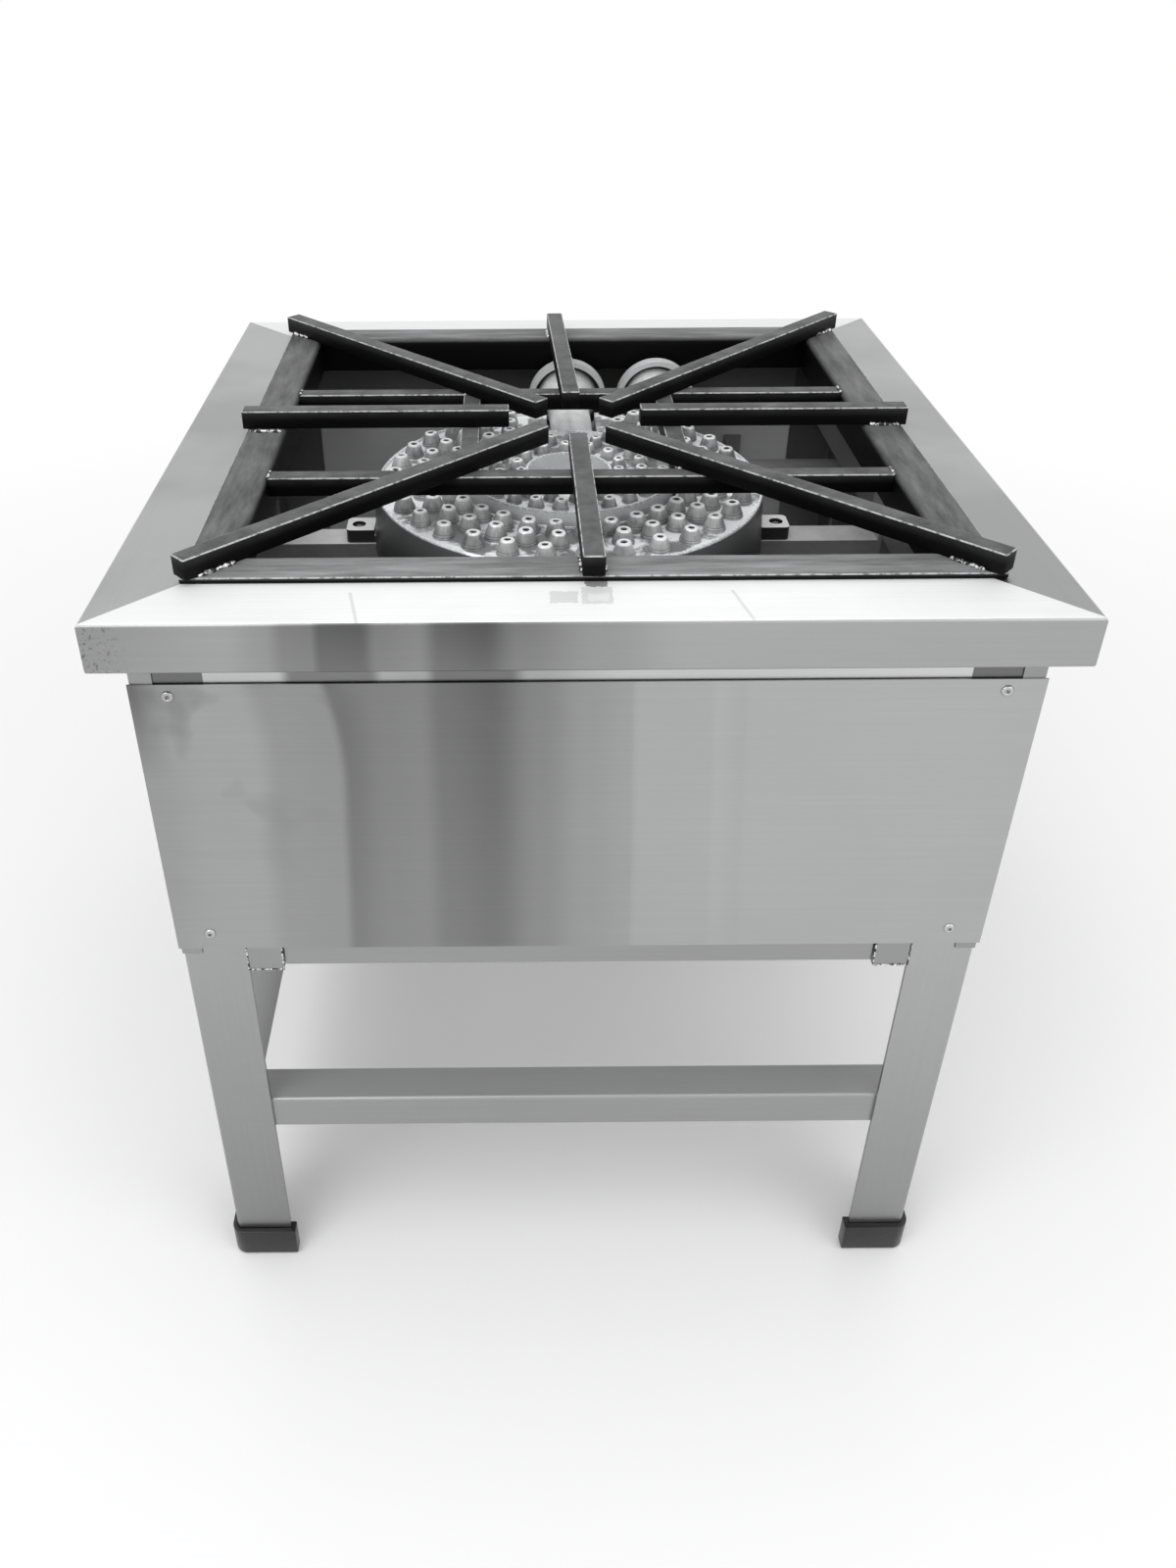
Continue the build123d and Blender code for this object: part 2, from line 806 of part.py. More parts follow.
# ---------------------------------------------------------------- inner burner
inner_shell = ring(inner_ring_radius, inner_ring_hole, inner_ring_bottom, inner_plate_z)
inner_shell += ring(inner_ring_radius, inner_ring_radius - rim_width, inner_plate_z, inner_ring_top)
inner_shell += ring(inner_ring_hole + rim_width, inner_ring_hole, inner_plate_z, inner_ring_top)
inner_chamber = ring(
    inner_ring_radius - inner_wall,
    inner_ring_hole + inner_wall,
    inner_ring_bottom,
    inner_plate_z - inner_wall,
)
inner_tube_start = inner_ring_radius - 2 * inner_wall
inner_bore = rod((inner_tube_x, inner_tube_start, bell_height), y_axis, 3 * inner_wall, tube_bore)
save("inner_burner_head", inner_shell - inner_chamber - inner_bore)
inner_room = rod((0, 0, cross_rail_top), z_axis, top_height - cross_rail_top, inner_ring_radius)
save("inner_mixing_tube", make_bell(inner_tube_x, inner_tube_start) - inner_room)

inner_base_top = inner_ring_bottom
inner_base_low = inner_base_top - inner_base
inner_base_plate = ring(inner_ring_radius, inner_ring_hole, inner_base_low, inner_base_top)
for sign in (-1, 1):
    inner_base_plate += block(
        (sign * (inner_pad_out - inner_pad_length / 2), sign * (inner_pad_out + inner_pad_length / 2)),
        (-inner_pad_width / 2, inner_pad_width / 2),
        (cross_rail_top, inner_base_low),
    )
save("inner_burner_base", inner_base_plate)


# ---------------------------------------------------------------- jets
def make_jet(base, tip, height):
    """Conical nipple with a blind port in its tip."""
    draft = degrees(atan((base - tip) * cos(pi / jet_sides) / height))
    cone = extrude(RegularPolygon(base, jet_sides), height, taper=draft)
    port = Pos(0, 0, height - jet_port_depth) * extrude(
        RegularPolygon(jet_port, jet_port_sides), jet_port_depth
    )
    return cone - port


def jet_rings(rows, counts, turns, jet, base, plate_z):
    """Jets in rings, left out where the inner mixing tube crosses."""
    crossing = tube_radius + base + jet_to_tube
    jets = []
    for row_radius, count, first in zip(rows, counts, turns):
        for index in range(count):
            turn = first + 360 * index / count
            x = row_radius * cos(radians(turn))
            y = row_radius * sin(radians(turn))
            under_tube = y > inner_tube_start - base and abs(x - inner_tube_x) < crossing
            if not under_tube:
                jets.append(Pos(x, y, plate_z) * Rot(0, 0, turn) * jet)
    return jets


outer_jet = make_jet(outer_jet_base, outer_jet_tip, outer_jet_height)
inner_jet = make_jet(inner_jet_base, inner_jet_tip, inner_jet_height)
outer_jets = jet_rings(
    outer_jet_rows, outer_jet_counts, outer_jet_turns, outer_jet, outer_jet_base, outer_plate_z
)
inner_jets = jet_rings(
    inner_jet_rows, inner_jet_counts, inner_jet_turns, inner_jet, inner_jet_base, inner_plate_z
)
save("outer_jets", outer_jets)
save("inner_jets", inner_jets)

# ---------------------------------------------------------------- gas pipe
inlet_x = side_face_x + inlet_stub
thread_x = inlet_x - inlet_thread
manifold = rod(
    (manifold_left, manifold_y, manifold_height), x_axis, thread_x - manifold_left, manifold_radius
)
manifold += rod((thread_x, manifold_y, manifold_height), x_axis, inlet_thread, inlet_thread_radius)
manifold -= rod(
    (manifold_left, manifold_y, manifold_height), x_axis, inlet_x - manifold_left, manifold_bore
)
valve_spots = {"inner": inner_tube_x, "outer": outer_tube_x}
for x in valve_spots.values():
    manifold -= rod((x, manifold_y, manifold_height), y_axis, 2 * manifold_radius, supply_tube_bore)
save("gas_manifold", manifold)

plug = rod((manifold_left, manifold_y, manifold_height), -x_axis, plug_length, plug_radius)
save("manifold_plug", plug)


def make_bracket(x):
    """Upright plate round the pipe with a foot against the control panel."""
    plate_x = (x - bracket_sheet / 2, x + bracket_sheet / 2)
    rise = (manifold_height - bracket_rise, manifold_height + bracket_rise)
    plate = block(plate_x, (manifold_y - bracket_rise, control_back_y), rise)
    foot = block(
        (x - bracket_sheet / 2, x + bracket_foot), (control_back_y - bracket_sheet, control_back_y), rise
    )
    pipe = rod((x - bracket_foot, manifold_y, manifold_height), x_axis, 2 * bracket_foot, manifold_radius)
    return plate + foot - pipe


save("manifold_brackets", [make_bracket(x) for x in bracket_spots])


def make_valve(x):
    """Brass gas cock: body off the pipe, outlet boss up, bonnet towards the panel."""
    body = rod((x, valve_start_y - 1.5, manifold_height), y_axis, valve_length + 1.5, valve_radius)
    bonnet = rod((x, valve_end_y, manifold_height), y_axis, bonnet_length, bonnet_radius)
    boss = rod((x, elbow_y, manifold_height), z_axis, outlet_boss_height, outlet_boss_radius)
    pipe_room = rod(
        (x - 2 * valve_radius, manifold_y, manifold_height), x_axis, 4 * valve_radius, manifold_radius
    )
    stem_bore = rod(
        (x, stem_start_y, manifold_height), y_axis, stem_depth + 1, stem_radius + stem_slip
    )
    return body + bonnet + boss - pipe_room - stem_bore


supply_tubes = []
for name, x in valve_spots.items():
    save(f"gas_valve_{name}", make_valve(x))
    tube_low = manifold_height + outlet_boss_height
    tube_high = bell_height - elbow_size / 2
    length = tube_high - tube_low
    start = (x, elbow_y, tube_low)
    outside = rod(start, z_axis, length, supply_tube_radius)
    supply_tubes.append(outside - rod(start, z_axis, length, supply_tube_bore))

    elbow = Pos(x, elbow_y, bell_height) * Box(elbow_size, elbow_size, elbow_size)
    barrel = rod((x, injector_tip_y, bell_height), y_axis, injector_length, injector_radius)
    orifice = rod((x, injector_tip_y, bell_height), y_axis, injector_length, injector_orifice)
    bore_y = injector_tip_y + injector_tip_wall
    bore = rod((x, bore_y, bell_height), y_axis, elbow_y - bore_y, injector_bore)
    drop = rod((x, elbow_y, bell_height), -z_axis, elbow_size / 2, injector_bore)
    save(f"injector_{name}", elbow + barrel - orifice - bore - drop)

    disc_y = bell_mouth_y + shutter_gap
    disc = rod((x, disc_y, bell_height), y_axis, shutter_sheet, shutter_radius)
    hub = rod((x, disc_y, bell_height), y_axis, shutter_hub_length, shutter_hub_radius)
    hub_bore = rod(
        (x, disc_y, bell_height), y_axis, shutter_hub_length, injector_radius + shutter_slip
    )
    windows = [
        rod(
            (
                x + shutter_window_out * cos(2 * pi * (index + 0.5) / shutter_windows),
                disc_y,
                bell_height + shutter_window_out * sin(2 * pi * (index + 0.5) / shutter_windows),
            ),
            y_axis,
            shutter_sheet,
            shutter_window_radius,
        )
        for index in range(shutter_windows)
    ]
    save(f"air_shutter_{name}", disc + hub - hub_bore - windows)

    knob_length = knob_front_y - knob_back_y
    knob_plane = Plane(origin=(x, knob_back_y, manifold_height), x_dir=x_axis, z_dir=y_axis)
    skirt = knob_plane * Cylinder(
        knob_radius, knob_skirt, align=(Align.CENTER, Align.CENTER, Align.MIN)
    )
    grip_face = Rectangle(knob_grip_width, 2 * knob_radius - knob_grip_edge)
    grip_face = fillet(grip_face.vertices(), knob_grip_edge)
    grip = extrude(knob_plane * grip_face, knob_length)
    knob = skirt + chamfer(grip.faces().sort_by(Axis.Y)[-1].edges(), knob_grip_edge / 2)
    knob_bore_length = knob_length - knob_wall
    knob -= rod(
        (x, knob_back_y, manifold_height), y_axis, knob_bore_length, stem_radius + stem_slip
    )
    save(f"knob_{name}", knob)

    stem_end_y = knob_back_y + knob_bore_length
    stem = rod((x, stem_start_y, manifold_height), y_axis, stem_end_y - stem_start_y, stem_radius)
    save(f"valve_stem_{name}", stem)
save("supply_tubes", supply_tubes)


# ---------------------------------------------------------------- grate
grate_place = Pos(grate_x, grate_y, 0)


def make_grate_side(side_x, side_y):
    """One mitred angle of the grate frame: flat on the top, upright inside the opening."""
    angle = angle_bar(
        (0, -side_y + grate_angle, grate_top),
        (0, -1, 0),
        (0, 0, -1),
        grate_angle,
        grate_angle,
        grate_sheet,
        2 * side_x,
    )
    wedge = mitre_wedge(side_x, side_y, grate_angle, grate_top - grate_angle, grate_top)
    return angle & wedge


for side, angle in four_sides(make_grate_side, grate_outer_x, grate_outer_y).items():
    save(f"grate_frame_{side}", grate_place * angle)

bar_half = bar_size / 2
cross_bars = []
for sign in (-1, 1):
    middle_y = cross_bar_shift + sign * cross_bar_half
    cross_bars.append(
        block(
            (-grate_inner_x, grate_inner_x),
            (middle_y - bar_half, middle_y + bar_half),
            (grate_top - bar_size, grate_top),
        )
    )
    middle_x = link_bar_shift + sign * link_bar_half
    cross_bars.append(
        block(
            (middle_x - bar_half, middle_x + bar_half),
            (
                cross_bar_shift - cross_bar_half + bar_half,
                cross_bar_shift + cross_bar_half - bar_half,
            ),
            (grate_top - bar_size, grate_top),
        )
    )
save("grate_cross_bars", [grate_place * bar for bar in cross_bars])


def make_pot_bar(turn, inner_gap, outer_reach, sideways):
    """A square bar on top of the frame, pointing at the middle."""
    bar = block(
        (inner_gap, outer_reach), (sideways - bar_half, sideways + bar_half), (grate_top, pot_height)
    )
    return Rot(0, 0, turn) * bar


centre = Pos(0, cross_bar_shift, 0)
front_reach = grate_outer_y + cross_bar_shift + bar_overhang_y
rear_reach = grate_outer_y - cross_bar_shift + bar_overhang_y
side_reach = grate_outer_x + bar_overhang_x
straight_bars = [
    centre * make_pot_bar(-90, straight_bar_gap, front_reach, 0),
    centre * make_pot_bar(90 + rear_bar_lean, straight_bar_gap, rear_reach, 0),
    make_pot_bar(0, straight_bar_gap + bar_half, side_reach, side_bar_shift),
    make_pot_bar(180, straight_bar_gap + bar_half, side_reach, -side_bar_shift),
]
save("grate_straight_bars", [grate_place * bar for bar in straight_bars])

diagonal_bars = []
for side_x, side_y in corners.values():
    reach_x = grate_outer_x - bar_half / 2
    reach_y = grate_outer_y - bar_half / 2 - side_y * cross_bar_shift
    turn = degrees(atan2(side_y * reach_y, side_x * reach_x))
    length = hypot(reach_x, reach_y) + diagonal_bar_overhang
    diagonal_bars.append(centre * make_pot_bar(turn, diagonal_bar_gap, length, 0))
save("grate_diagonal_bars", [grate_place * bar for bar in diagonal_bars])
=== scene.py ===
import json
import math

import bmesh
import bpy
from mathutils import Matrix, Vector

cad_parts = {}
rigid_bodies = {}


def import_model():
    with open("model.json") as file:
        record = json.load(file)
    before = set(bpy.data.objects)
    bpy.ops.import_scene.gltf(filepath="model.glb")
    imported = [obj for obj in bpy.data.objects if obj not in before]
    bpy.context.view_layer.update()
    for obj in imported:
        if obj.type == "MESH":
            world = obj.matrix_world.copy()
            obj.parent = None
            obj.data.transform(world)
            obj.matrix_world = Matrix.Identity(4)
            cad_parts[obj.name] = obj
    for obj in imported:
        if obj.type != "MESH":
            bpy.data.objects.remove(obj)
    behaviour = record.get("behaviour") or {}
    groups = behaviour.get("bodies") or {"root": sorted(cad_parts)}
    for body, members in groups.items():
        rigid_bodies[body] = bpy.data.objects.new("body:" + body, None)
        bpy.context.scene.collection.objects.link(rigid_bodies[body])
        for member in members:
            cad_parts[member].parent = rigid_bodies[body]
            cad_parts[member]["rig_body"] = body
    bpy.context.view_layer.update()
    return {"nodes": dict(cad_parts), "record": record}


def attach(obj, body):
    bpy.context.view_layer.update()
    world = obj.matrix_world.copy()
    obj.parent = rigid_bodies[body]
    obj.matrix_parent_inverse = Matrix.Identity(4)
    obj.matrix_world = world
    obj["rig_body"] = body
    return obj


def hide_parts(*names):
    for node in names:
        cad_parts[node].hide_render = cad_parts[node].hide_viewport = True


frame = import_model()
nodes = frame["nodes"]
print("frame loaded:", len(nodes), "nodes")


class Wire:  # one socket of a node tree, used in sums like a number
    def __init__(self, net, socket):
        self.net = net
        self.socket = socket

    def step(self, operation, other=0.0, swapped=False, clamped=False):
        first, second = (other, self) if swapped else (self, other)
        settings = {"operation": operation, "use_clamp": clamped}
        return self.net.add("ShaderNodeMath", settings, {0: first, 1: second})

    def __add__(self, other):
        return self.step("ADD", other)

    def __radd__(self, other):
        return self.step("ADD", other, True)

    def __sub__(self, other):
        return self.step("SUBTRACT", other)

    def __rsub__(self, other):
        return self.step("SUBTRACT", other, True)

    def __mul__(self, other):
        return self.step("MULTIPLY", other)

    def __rmul__(self, other):
        return self.step("MULTIPLY", other, True)

    def __truediv__(self, other):
        return self.step("DIVIDE", other)

    def __gt__(self, other):
        return self.step("GREATER_THAN", other)

    def __lt__(self, other):
        return self.step("LESS_THAN", other)

    def __pow__(self, other):
        return self.step("POWER", other)

    def __abs__(self):
        return self.step("ABSOLUTE")

    def held(self):  # kept between 0 and 1
        return self.step("ADD", 0.0, clamped=True)

    def span(self, low, high):  # 0 at low, 1 at high, held between
        return self.step("SUBTRACT", low).step("DIVIDE", high - low, clamped=True)


class Net:  # any node tree; add makes a node, sets it and feeds it
    def add(self, kind, settings=None, sockets=None, out=0):
        node = self.tree.nodes.new(kind)
        for key, value in (settings or {}).items():
            if key == "stops":
                self.setStops(node.color_ramp, value)
            else:
                setattr(node, key, value)
        for key, value in (sockets or {}).items():
            self.feed(node.inputs[key], value)
        return Wire(self, node.outputs[out])

    def setStops(self, ramp, stops):
        ramp.interpolation = "EASE"
        while len(ramp.elements) < len(stops):
            ramp.elements.new(1.0)
        for element, (place, value) in zip(ramp.elements, stops):
            element.position = place
            element.color = (value, value, value, 1.0)

    def feed(self, socket, value):
        if isinstance(value, Wire):
            self.tree.links.new(value.socket, socket)
        else:
            socket.default_value = value

    def lookedAt(self):  # 1 for what the camera, metal or glass sees
        kinds = ("Is Camera Ray", "Is Glossy Ray", "Is Transmission Ray")
        camera, glossy, through = (self.add("ShaderNodeLightPath", out=kind) for kind in kinds)
        return (camera + glossy + through).held()

    def whiten(self, factor, shader, output):  # plain white over a shader where factor is 1
        white = self.add("ShaderNodeEmission", {}, {"Color": (1.0, 1.0, 1.0, 1.0), "Strength": 1.0})
        sockets = {0: factor, 1: Wire(self, shader), 2: white}
        self.feed(output, self.add("ShaderNodeMixShader", {}, sockets))


class Paint(Net):  # one material
    def __init__(self, name, **plain):
        self.material = bpy.data.materials.new(name)
        self.material.use_nodes = True
        self.tree = self.material.node_tree
        self.shader = self.tree.nodes["Principled BSDF"]
        for socket, value in plain.items():
            self.set(socket.replace("_", " "), value)

    def set(self, socket, value):
        self.feed(self.shader.inputs[socket], value)

    def place(self, scale=(1.0, 1.0, 1.0), shift=(0.0, 0.0, 0.0), turn=(0.0, 0.0, 0.0)):
        spot = self.add("ShaderNodeTexCoord", out="Object")
        sockets = {"Vector": spot, "Location": shift, "Rotation": turn, "Scale": scale}
        return self.add("ShaderNodeMapping", {}, sockets)

    def axis(self, letter):
        spot = self.add("ShaderNodeTexCoord", out="Object")
        return self.add("ShaderNodeSeparateXYZ", {}, {0: spot}, out=letter)

    def facing(self, letter):  # how far the surface looks along an axis
        normal = self.add("ShaderNodeNewGeometry", out="Normal")
        return self.add("ShaderNodeSeparateXYZ", {}, {0: normal}, out=letter)

    def up(self):
        return self.facing("Z").held()

    def inward(self):  # above 0 where a face looks at the middle of the stand
        return self.facing("X") * self.axis("X") * -1.0 - self.facing("Y") * self.axis("Y")

    def out(self):  # distance from the middle
        x, y = self.axis("X"), self.axis("Y")
        return (x * x + y * y) ** 0.5

    def noise(self, size, detail=3.0, rough=0.5, scale=(1.0, 1.0, 1.0), **placed):
        spot = self.place(scale, **placed)
        sockets = {"Vector": spot, "Scale": size, "Detail": detail, "Roughness": rough}
        return self.add("ShaderNodeTexNoise", {}, sockets)

    def mark(self, name):  # a number kept on the piece's own points or faces
        return self.add("ShaderNodeAttribute", {"attribute_name": name}, out="Fac")

    def mix(self, factor, first, second):
        return self.add("ShaderNodeMix", {}, {0: factor, 2: first, 3: second})

    def ramp(self, wire, stops):
        return self.add("ShaderNodeValToRGB", {"stops": stops}, {0: wire})

    def colour(self, value, tint=(1.0, 1.0, 1.0)):
        sockets = {0: value * tint[0], 1: value * tint[1], 2: value * tint[2]}
        self.set("Base Color", self.add("ShaderNodeCombineColor", {}, sockets))

    def bump(self, height, strength, distance):
        sockets = {"Height": height, "Strength": strength, "Distance": distance}
        self.set("Normal", self.add("ShaderNodeBump", {}, sockets))


def linear(tone):  # a tone as it looks on a screen, as light
    return ((tone + 0.055) / 1.055) ** 2.4 if tone > 0.04045 else tone / 12.92


steelLook = {
    "tint": (0.995, 1.0, 1.004),
    "grainLines": 420.0,
    "grainStretch": 6.0,
    "grainDepth": 0.14,
    "grainRough": 0.12,
    "smudgeSize": 9.0,
    "smudgeDepth": 0.1,
    "smudgeRough": 0.1,
    "scratchScale": (18.0, 900.0, 900.0),
    "scratchTurn": (0.2, 0.5, 0.35),
    "scratchFrom": 0.69,
    "scratchGain": 1.28,
    "scratchDepth": 0.5,
    "rough": 0.34,
    "bump": (0.12, 0.0004),
    "flatUp": 0.8,
    "innerSide": 0.05,
}
# painted reflection of the room on the brushed sheets
reflectionBandLook = {
    "middle": 0.64,  # the tone that the painted reflection bands fade towards
    "centre": -0.05,
    "halfWidth": 0.3,
    "narrowing": (0.98, 0.45),  # at the sheet's upper end, and more for each metre below
    "wanderSize": 3.0,
    "wander": 0.01,
    "bowDrop": 0.08,
    "bowFrom": (-0.11, -0.15),
    "fade": (0.85, 0.3),
}


class Steel(Paint):  # brushed sheet: grain along one axis, faint smudges and scratches
    def __init__(self, name, along, tone):
        super().__init__(name)
        scale = [steelLook["grainLines"]] * 3
        scale["XYZ".index(along)] = steelLook["grainStretch"]
        self.grain = self.noise(1.0, 4.0, 0.65, tuple(scale))
        self.smudges = self.noise(steelLook["smudgeSize"], 4.0, 0.6)
        self.value = linear(tone)
        self.metal = 1.0
        self.rough = steelLook["rough"]

    def tone(self, factor, tone):  # lays another tone over the sheet where factor is 1
        value = linear(tone) if isinstance(tone, float) else tone
        self.value = self.mix(factor, self.value, value)

    def level(self):  # 1 where the sheet lies flat
        return self.up() > steelLook["flatUp"]

    def inner(self):  # 1 where the sheet looks into the burner box
        return self.inward() > steelLook["innerSide"]

    def paintInsideShade(self, tone):  # painted shade: a dull tone of its own inside the box, set for the shade there
        inner = self.inner()
        self.tone(inner, tone)
        self.metal = self.mix(inner, self.metal, 0.0)

    def paintReflectionBands(self, stops, low, high, bowed=0.0):  # painted reflection: upright bands that the room leaves, fading downwards
        look = reflectionBandLook
        x, drop = self.axis("X"), high - self.axis("Z")
        wander = (self.noise(look["wanderSize"], 2.0) - 0.5) * look["wander"]
        bow = (look["bowDrop"] - drop).held() ** 2.0 * x.span(*look["bowFrom"]) * bowed
        width, narrowing = look["narrowing"]
        bent = (x - look["centre"]) / (width + drop * narrowing) + look["centre"] + wander + bow
        across = (bent + look["halfWidth"]) / (2.0 * look["halfWidth"])
        value = self.ramp(across, [(place, linear(tone)) for place, tone in stops])
        middle = linear(look["middle"])
        kept, gain = look["fade"]
        self.value = middle + (value - middle) * (kept + self.axis("Z").span(low, high) * gain)

    def finish(self):
        look = steelLook
        scratches = self.noise(1.0, 2.0, 0.5, look["scratchScale"], turn=look["scratchTurn"])
        scratches = ((scratches - look["scratchFrom"]) * look["scratchGain"]).held()
        grain, smudges = self.grain - 0.5, self.smudges - 0.5
        factor = 1.0 + grain * look["grainDepth"] + smudges * look["smudgeDepth"]
        factor = factor + scratches * look["scratchDepth"]
        self.colour(factor * self.value, look["tint"])
        self.set("Metallic", self.metal)
        self.set("Roughness", self.rough + grain * look["grainRough"] + smudges * look["smudgeRough"])
        self.bump(self.grain, *look["bump"])
        return self.material


# painted reflection bands: their places run from 0 at the left corner to 1 at the right one
frontReflectionBands = (
    (0.0, 0.6), (0.04, 0.61), (0.105, 0.64), (0.15, 0.64), (0.18, 0.595), (0.238, 0.585), (0.25, 0.485),
    (0.29, 0.53), (0.325, 0.54), (0.35, 0.485), (0.4, 0.455), (0.45, 0.545), (0.5, 0.605), (0.545, 0.63),
    (0.554, 0.67), (0.63, 0.675), (0.636, 0.69), (0.664, 0.675), (0.67, 0.685), (1.0, 0.685),
)
skirtReflectionBands = (
    (0.0, 0.6), (0.14, 0.64), (0.18, 0.6), (0.2, 0.53), (0.226, 0.52), (0.234, 0.43), (0.275, 0.42),
    (0.29, 0.52), (0.33, 0.545), (0.352, 0.44), (0.395, 0.405), (0.43, 0.52), (0.51, 0.61), (0.6, 0.665),
    (1.0, 0.66),
)
railReflectionBands = (
    (0.0, 0.46), (0.05, 0.5), (0.08, 0.74), (0.18, 0.74), (0.195, 0.52), (0.275, 0.52), (0.29, 0.67),
    (0.33, 0.65), (0.345, 0.5), (0.42, 0.5), (0.44, 0.66), (0.55, 0.76), (1.0, 0.8),
)


def plainSteel(name, along, tone):
    return Steel(name, along, tone).finish()


# brushed steel with painted shade inside the box
def insideShadedSteel(name, along, tone, insideShadeTone):
    steel = Steel(name, along, tone)
    steel.paintInsideShade(insideShadeTone)
    return steel.finish()


panelLook = {
    "ends": (0.354, 0.574),
    "bow": 1.8,
    "prints": {
        "size": 26.0,
        "from": 0.57,
        "gain": 8.0,
        "x": (0.02, -0.24),
        "z": (0.4, 0.56),
        "strength": 0.6,
    },
    # corner: painted shade in the upper left corner
    "corner": {"x": (-0.262, -0.279), "z": (0.5, 0.566), "strength": 0.8},
    "railEnds": (0.524, 0.584),
}


def frontPanelSteel():  # finger prints on the upper left, painted shade in the upper left corner, painted reflection bands and painted shade inside the box
    look = panelLook
    steel = Steel("frontPanelSteel", "X", 0.66)
    steel.paintReflectionBands(frontReflectionBands, *look["ends"], look["bow"])
    x, z = steel.axis("X"), steel.axis("Z")
    area = look["prints"]
    prints = (steel.noise(area["size"], 2.0, 0.4, shift=(3.0, 1.0, 7.0)) - area["from"]) * area["gain"]
    steel.tone(prints.held() * x.span(*area["x"]) * z.span(*area["z"]) * area["strength"], 0.5)
    # painted shade in the upper left corner
    area = look["corner"]
    steel.tone(x.span(*area["x"]) * z.span(*area["z"]) * area["strength"], 0.4)
    # painted shade inside the box
    steel.paintInsideShade(0.35)
    return steel.finish()


def upperRailSteel():  # seen as a strip between the skirt and the panel, with painted reflection bands and painted shade inside the box
    steel = Steel("upperRailSteel", "X", 0.62)
    steel.paintReflectionBands(railReflectionBands, *panelLook["railEnds"])
    # painted shade inside the box
    steel.paintInsideShade(0.2)
    return steel.finish()


tornEdge = {"size": 240.0, "reach": 0.005}


def raggedBox(steel, low, high, near, far):  # 1 inside a box on the top whose edges are a little torn
    torn = (steel.noise(tornEdge["size"], 4.0, 0.7) - 0.5) * tornEdge["reach"]
    x, y = steel.axis("X") + torn, steel.axis("Y") + torn
    return (x > low) * (x < high) * (y > near) * (y < far)


# what lies on the front of the top, the last row being the painted shadow and reflection of the front bar's
# end: low and high x, near and far y, strength, tone
topResidueAndShadow = (
    (-0.0235, -0.0065, -0.277, -0.2625, 0.55, 0.72),
    (-0.0045, 0.0145, -0.2785, -0.2575, 0.35, 0.6),
    (-0.0005, 0.012, -0.2745, -0.2655, 0.7, 0.88),
    # painted shadow and reflection of the front bar's end
    (-0.0015, 0.012, -0.257, -0.245, 0.85, 0.45),
)


topLook = {
    "skirtEnds": (0.592, 0.626),
    "rubbed": {"size": 330.0, "from": 0.54, "gain": 9.0, "x": (-0.272, -0.288), "strength": 0.85},
    "cloudSize": 14.0,
    "cloudSpan": (0.45, 0.7),
    "dimmer": (0.12, 0.28),  # the painted reflection on the front strip's top dims a little between these distances from the middle
    "frontTopReflectionTones": (0.915, 0.885),
    "reflectionLines": (-0.1385, 0.0925),
    "lineWidth": 0.0016,
    "lineSlant": 0.2,
    "lineEnds": (-0.29, -0.262),
    "lineStrength": 0.6,
    "insideShadeTone": 0.3,
    "sideCloud": 7.0,
    "sideSpan": (0.4, 0.62),
    "sideTopReflectionTones": (0.62, 0.68),
}


def skirtSteel():  # skirt with the room's bands painted as reflection; its top a painted reflection, nearly white where it faces the light, with faint painted reflection lines; dark speckles at the left end
    look = topLook
    steel = Steel("skirtSteel", "X", 0.66)
    steel.paintReflectionBands(skirtReflectionBands, *look["skirtEnds"])
    area = look["rubbed"]
    rubbed = (steel.noise(area["size"], 3.0, 0.7) - area["from"]) * area["gain"]
    steel.tone(rubbed.held() * steel.axis("X").span(*area["x"]) * area["strength"], 0.35)
    up = steel.level()
    x, y = steel.axis("X"), steel.axis("Y")
    cloud = steel.noise(look["cloudSize"], 4.0, 0.6).span(*look["cloudSpan"])
    dimmed = (abs(x).span(*look["dimmer"]) + cloud * 0.5).held()
    # painted reflection: the front strip's top nearly white
    steel.tone(up, steel.mix(dimmed, *map(linear, look["frontTopReflectionTones"])))
    front, back = look["lineEnds"]
    for place in look["reflectionLines"]:  # painted reflection: faint lines
        reflectionLine = 1.0 - (abs(x - place + (y - front) * look["lineSlant"]) / look["lineWidth"]).held()
        steel.tone(reflectionLine * up * (y < back) * look["lineStrength"], 0.72)
    # residue on the top, and the painted shadow and reflection of the front bar's end
    for low, high, near, far, strength, tone in topResidueAndShadow:
        steel.tone(raggedBox(steel, low, high, near, far) * up * strength, tone)
    # painted shade inside the box
    steel.tone(steel.inner(), look["insideShadeTone"])
    steel.metal = 1.0 - up * 0.85
    steel.rough = steelLook["rough"] + up * 0.25
    return steel.finish()


def rearTopSteel():
    steel = Steel("rearTopSteel", "X", 0.66)
    up = steel.level()
    # painted reflection: the top pale
    steel.tone(up, 0.88)
    # painted shade inside the box
    steel.tone(steel.inner(), topLook["insideShadeTone"])
    steel.metal = 1.0 - up * 0.8
    return steel.finish()


def sideTopSteel():
    look = topLook
    steel = Steel("sideTopSteel", "Y", 0.66)
    cloud = steel.noise(look["sideCloud"], 3.0, 0.55, shift=(0.0, 2.0, 5.0))
    # painted reflection: the top grey in clouds, darker than the front strip's top
    steel.tone(steel.up(), steel.mix(cloud.span(*look["sideSpan"]), *map(linear, look["sideTopReflectionTones"])))
    # painted shade inside the box
    steel.tone(steel.inner(), look["insideShadeTone"])
    return steel.finish()


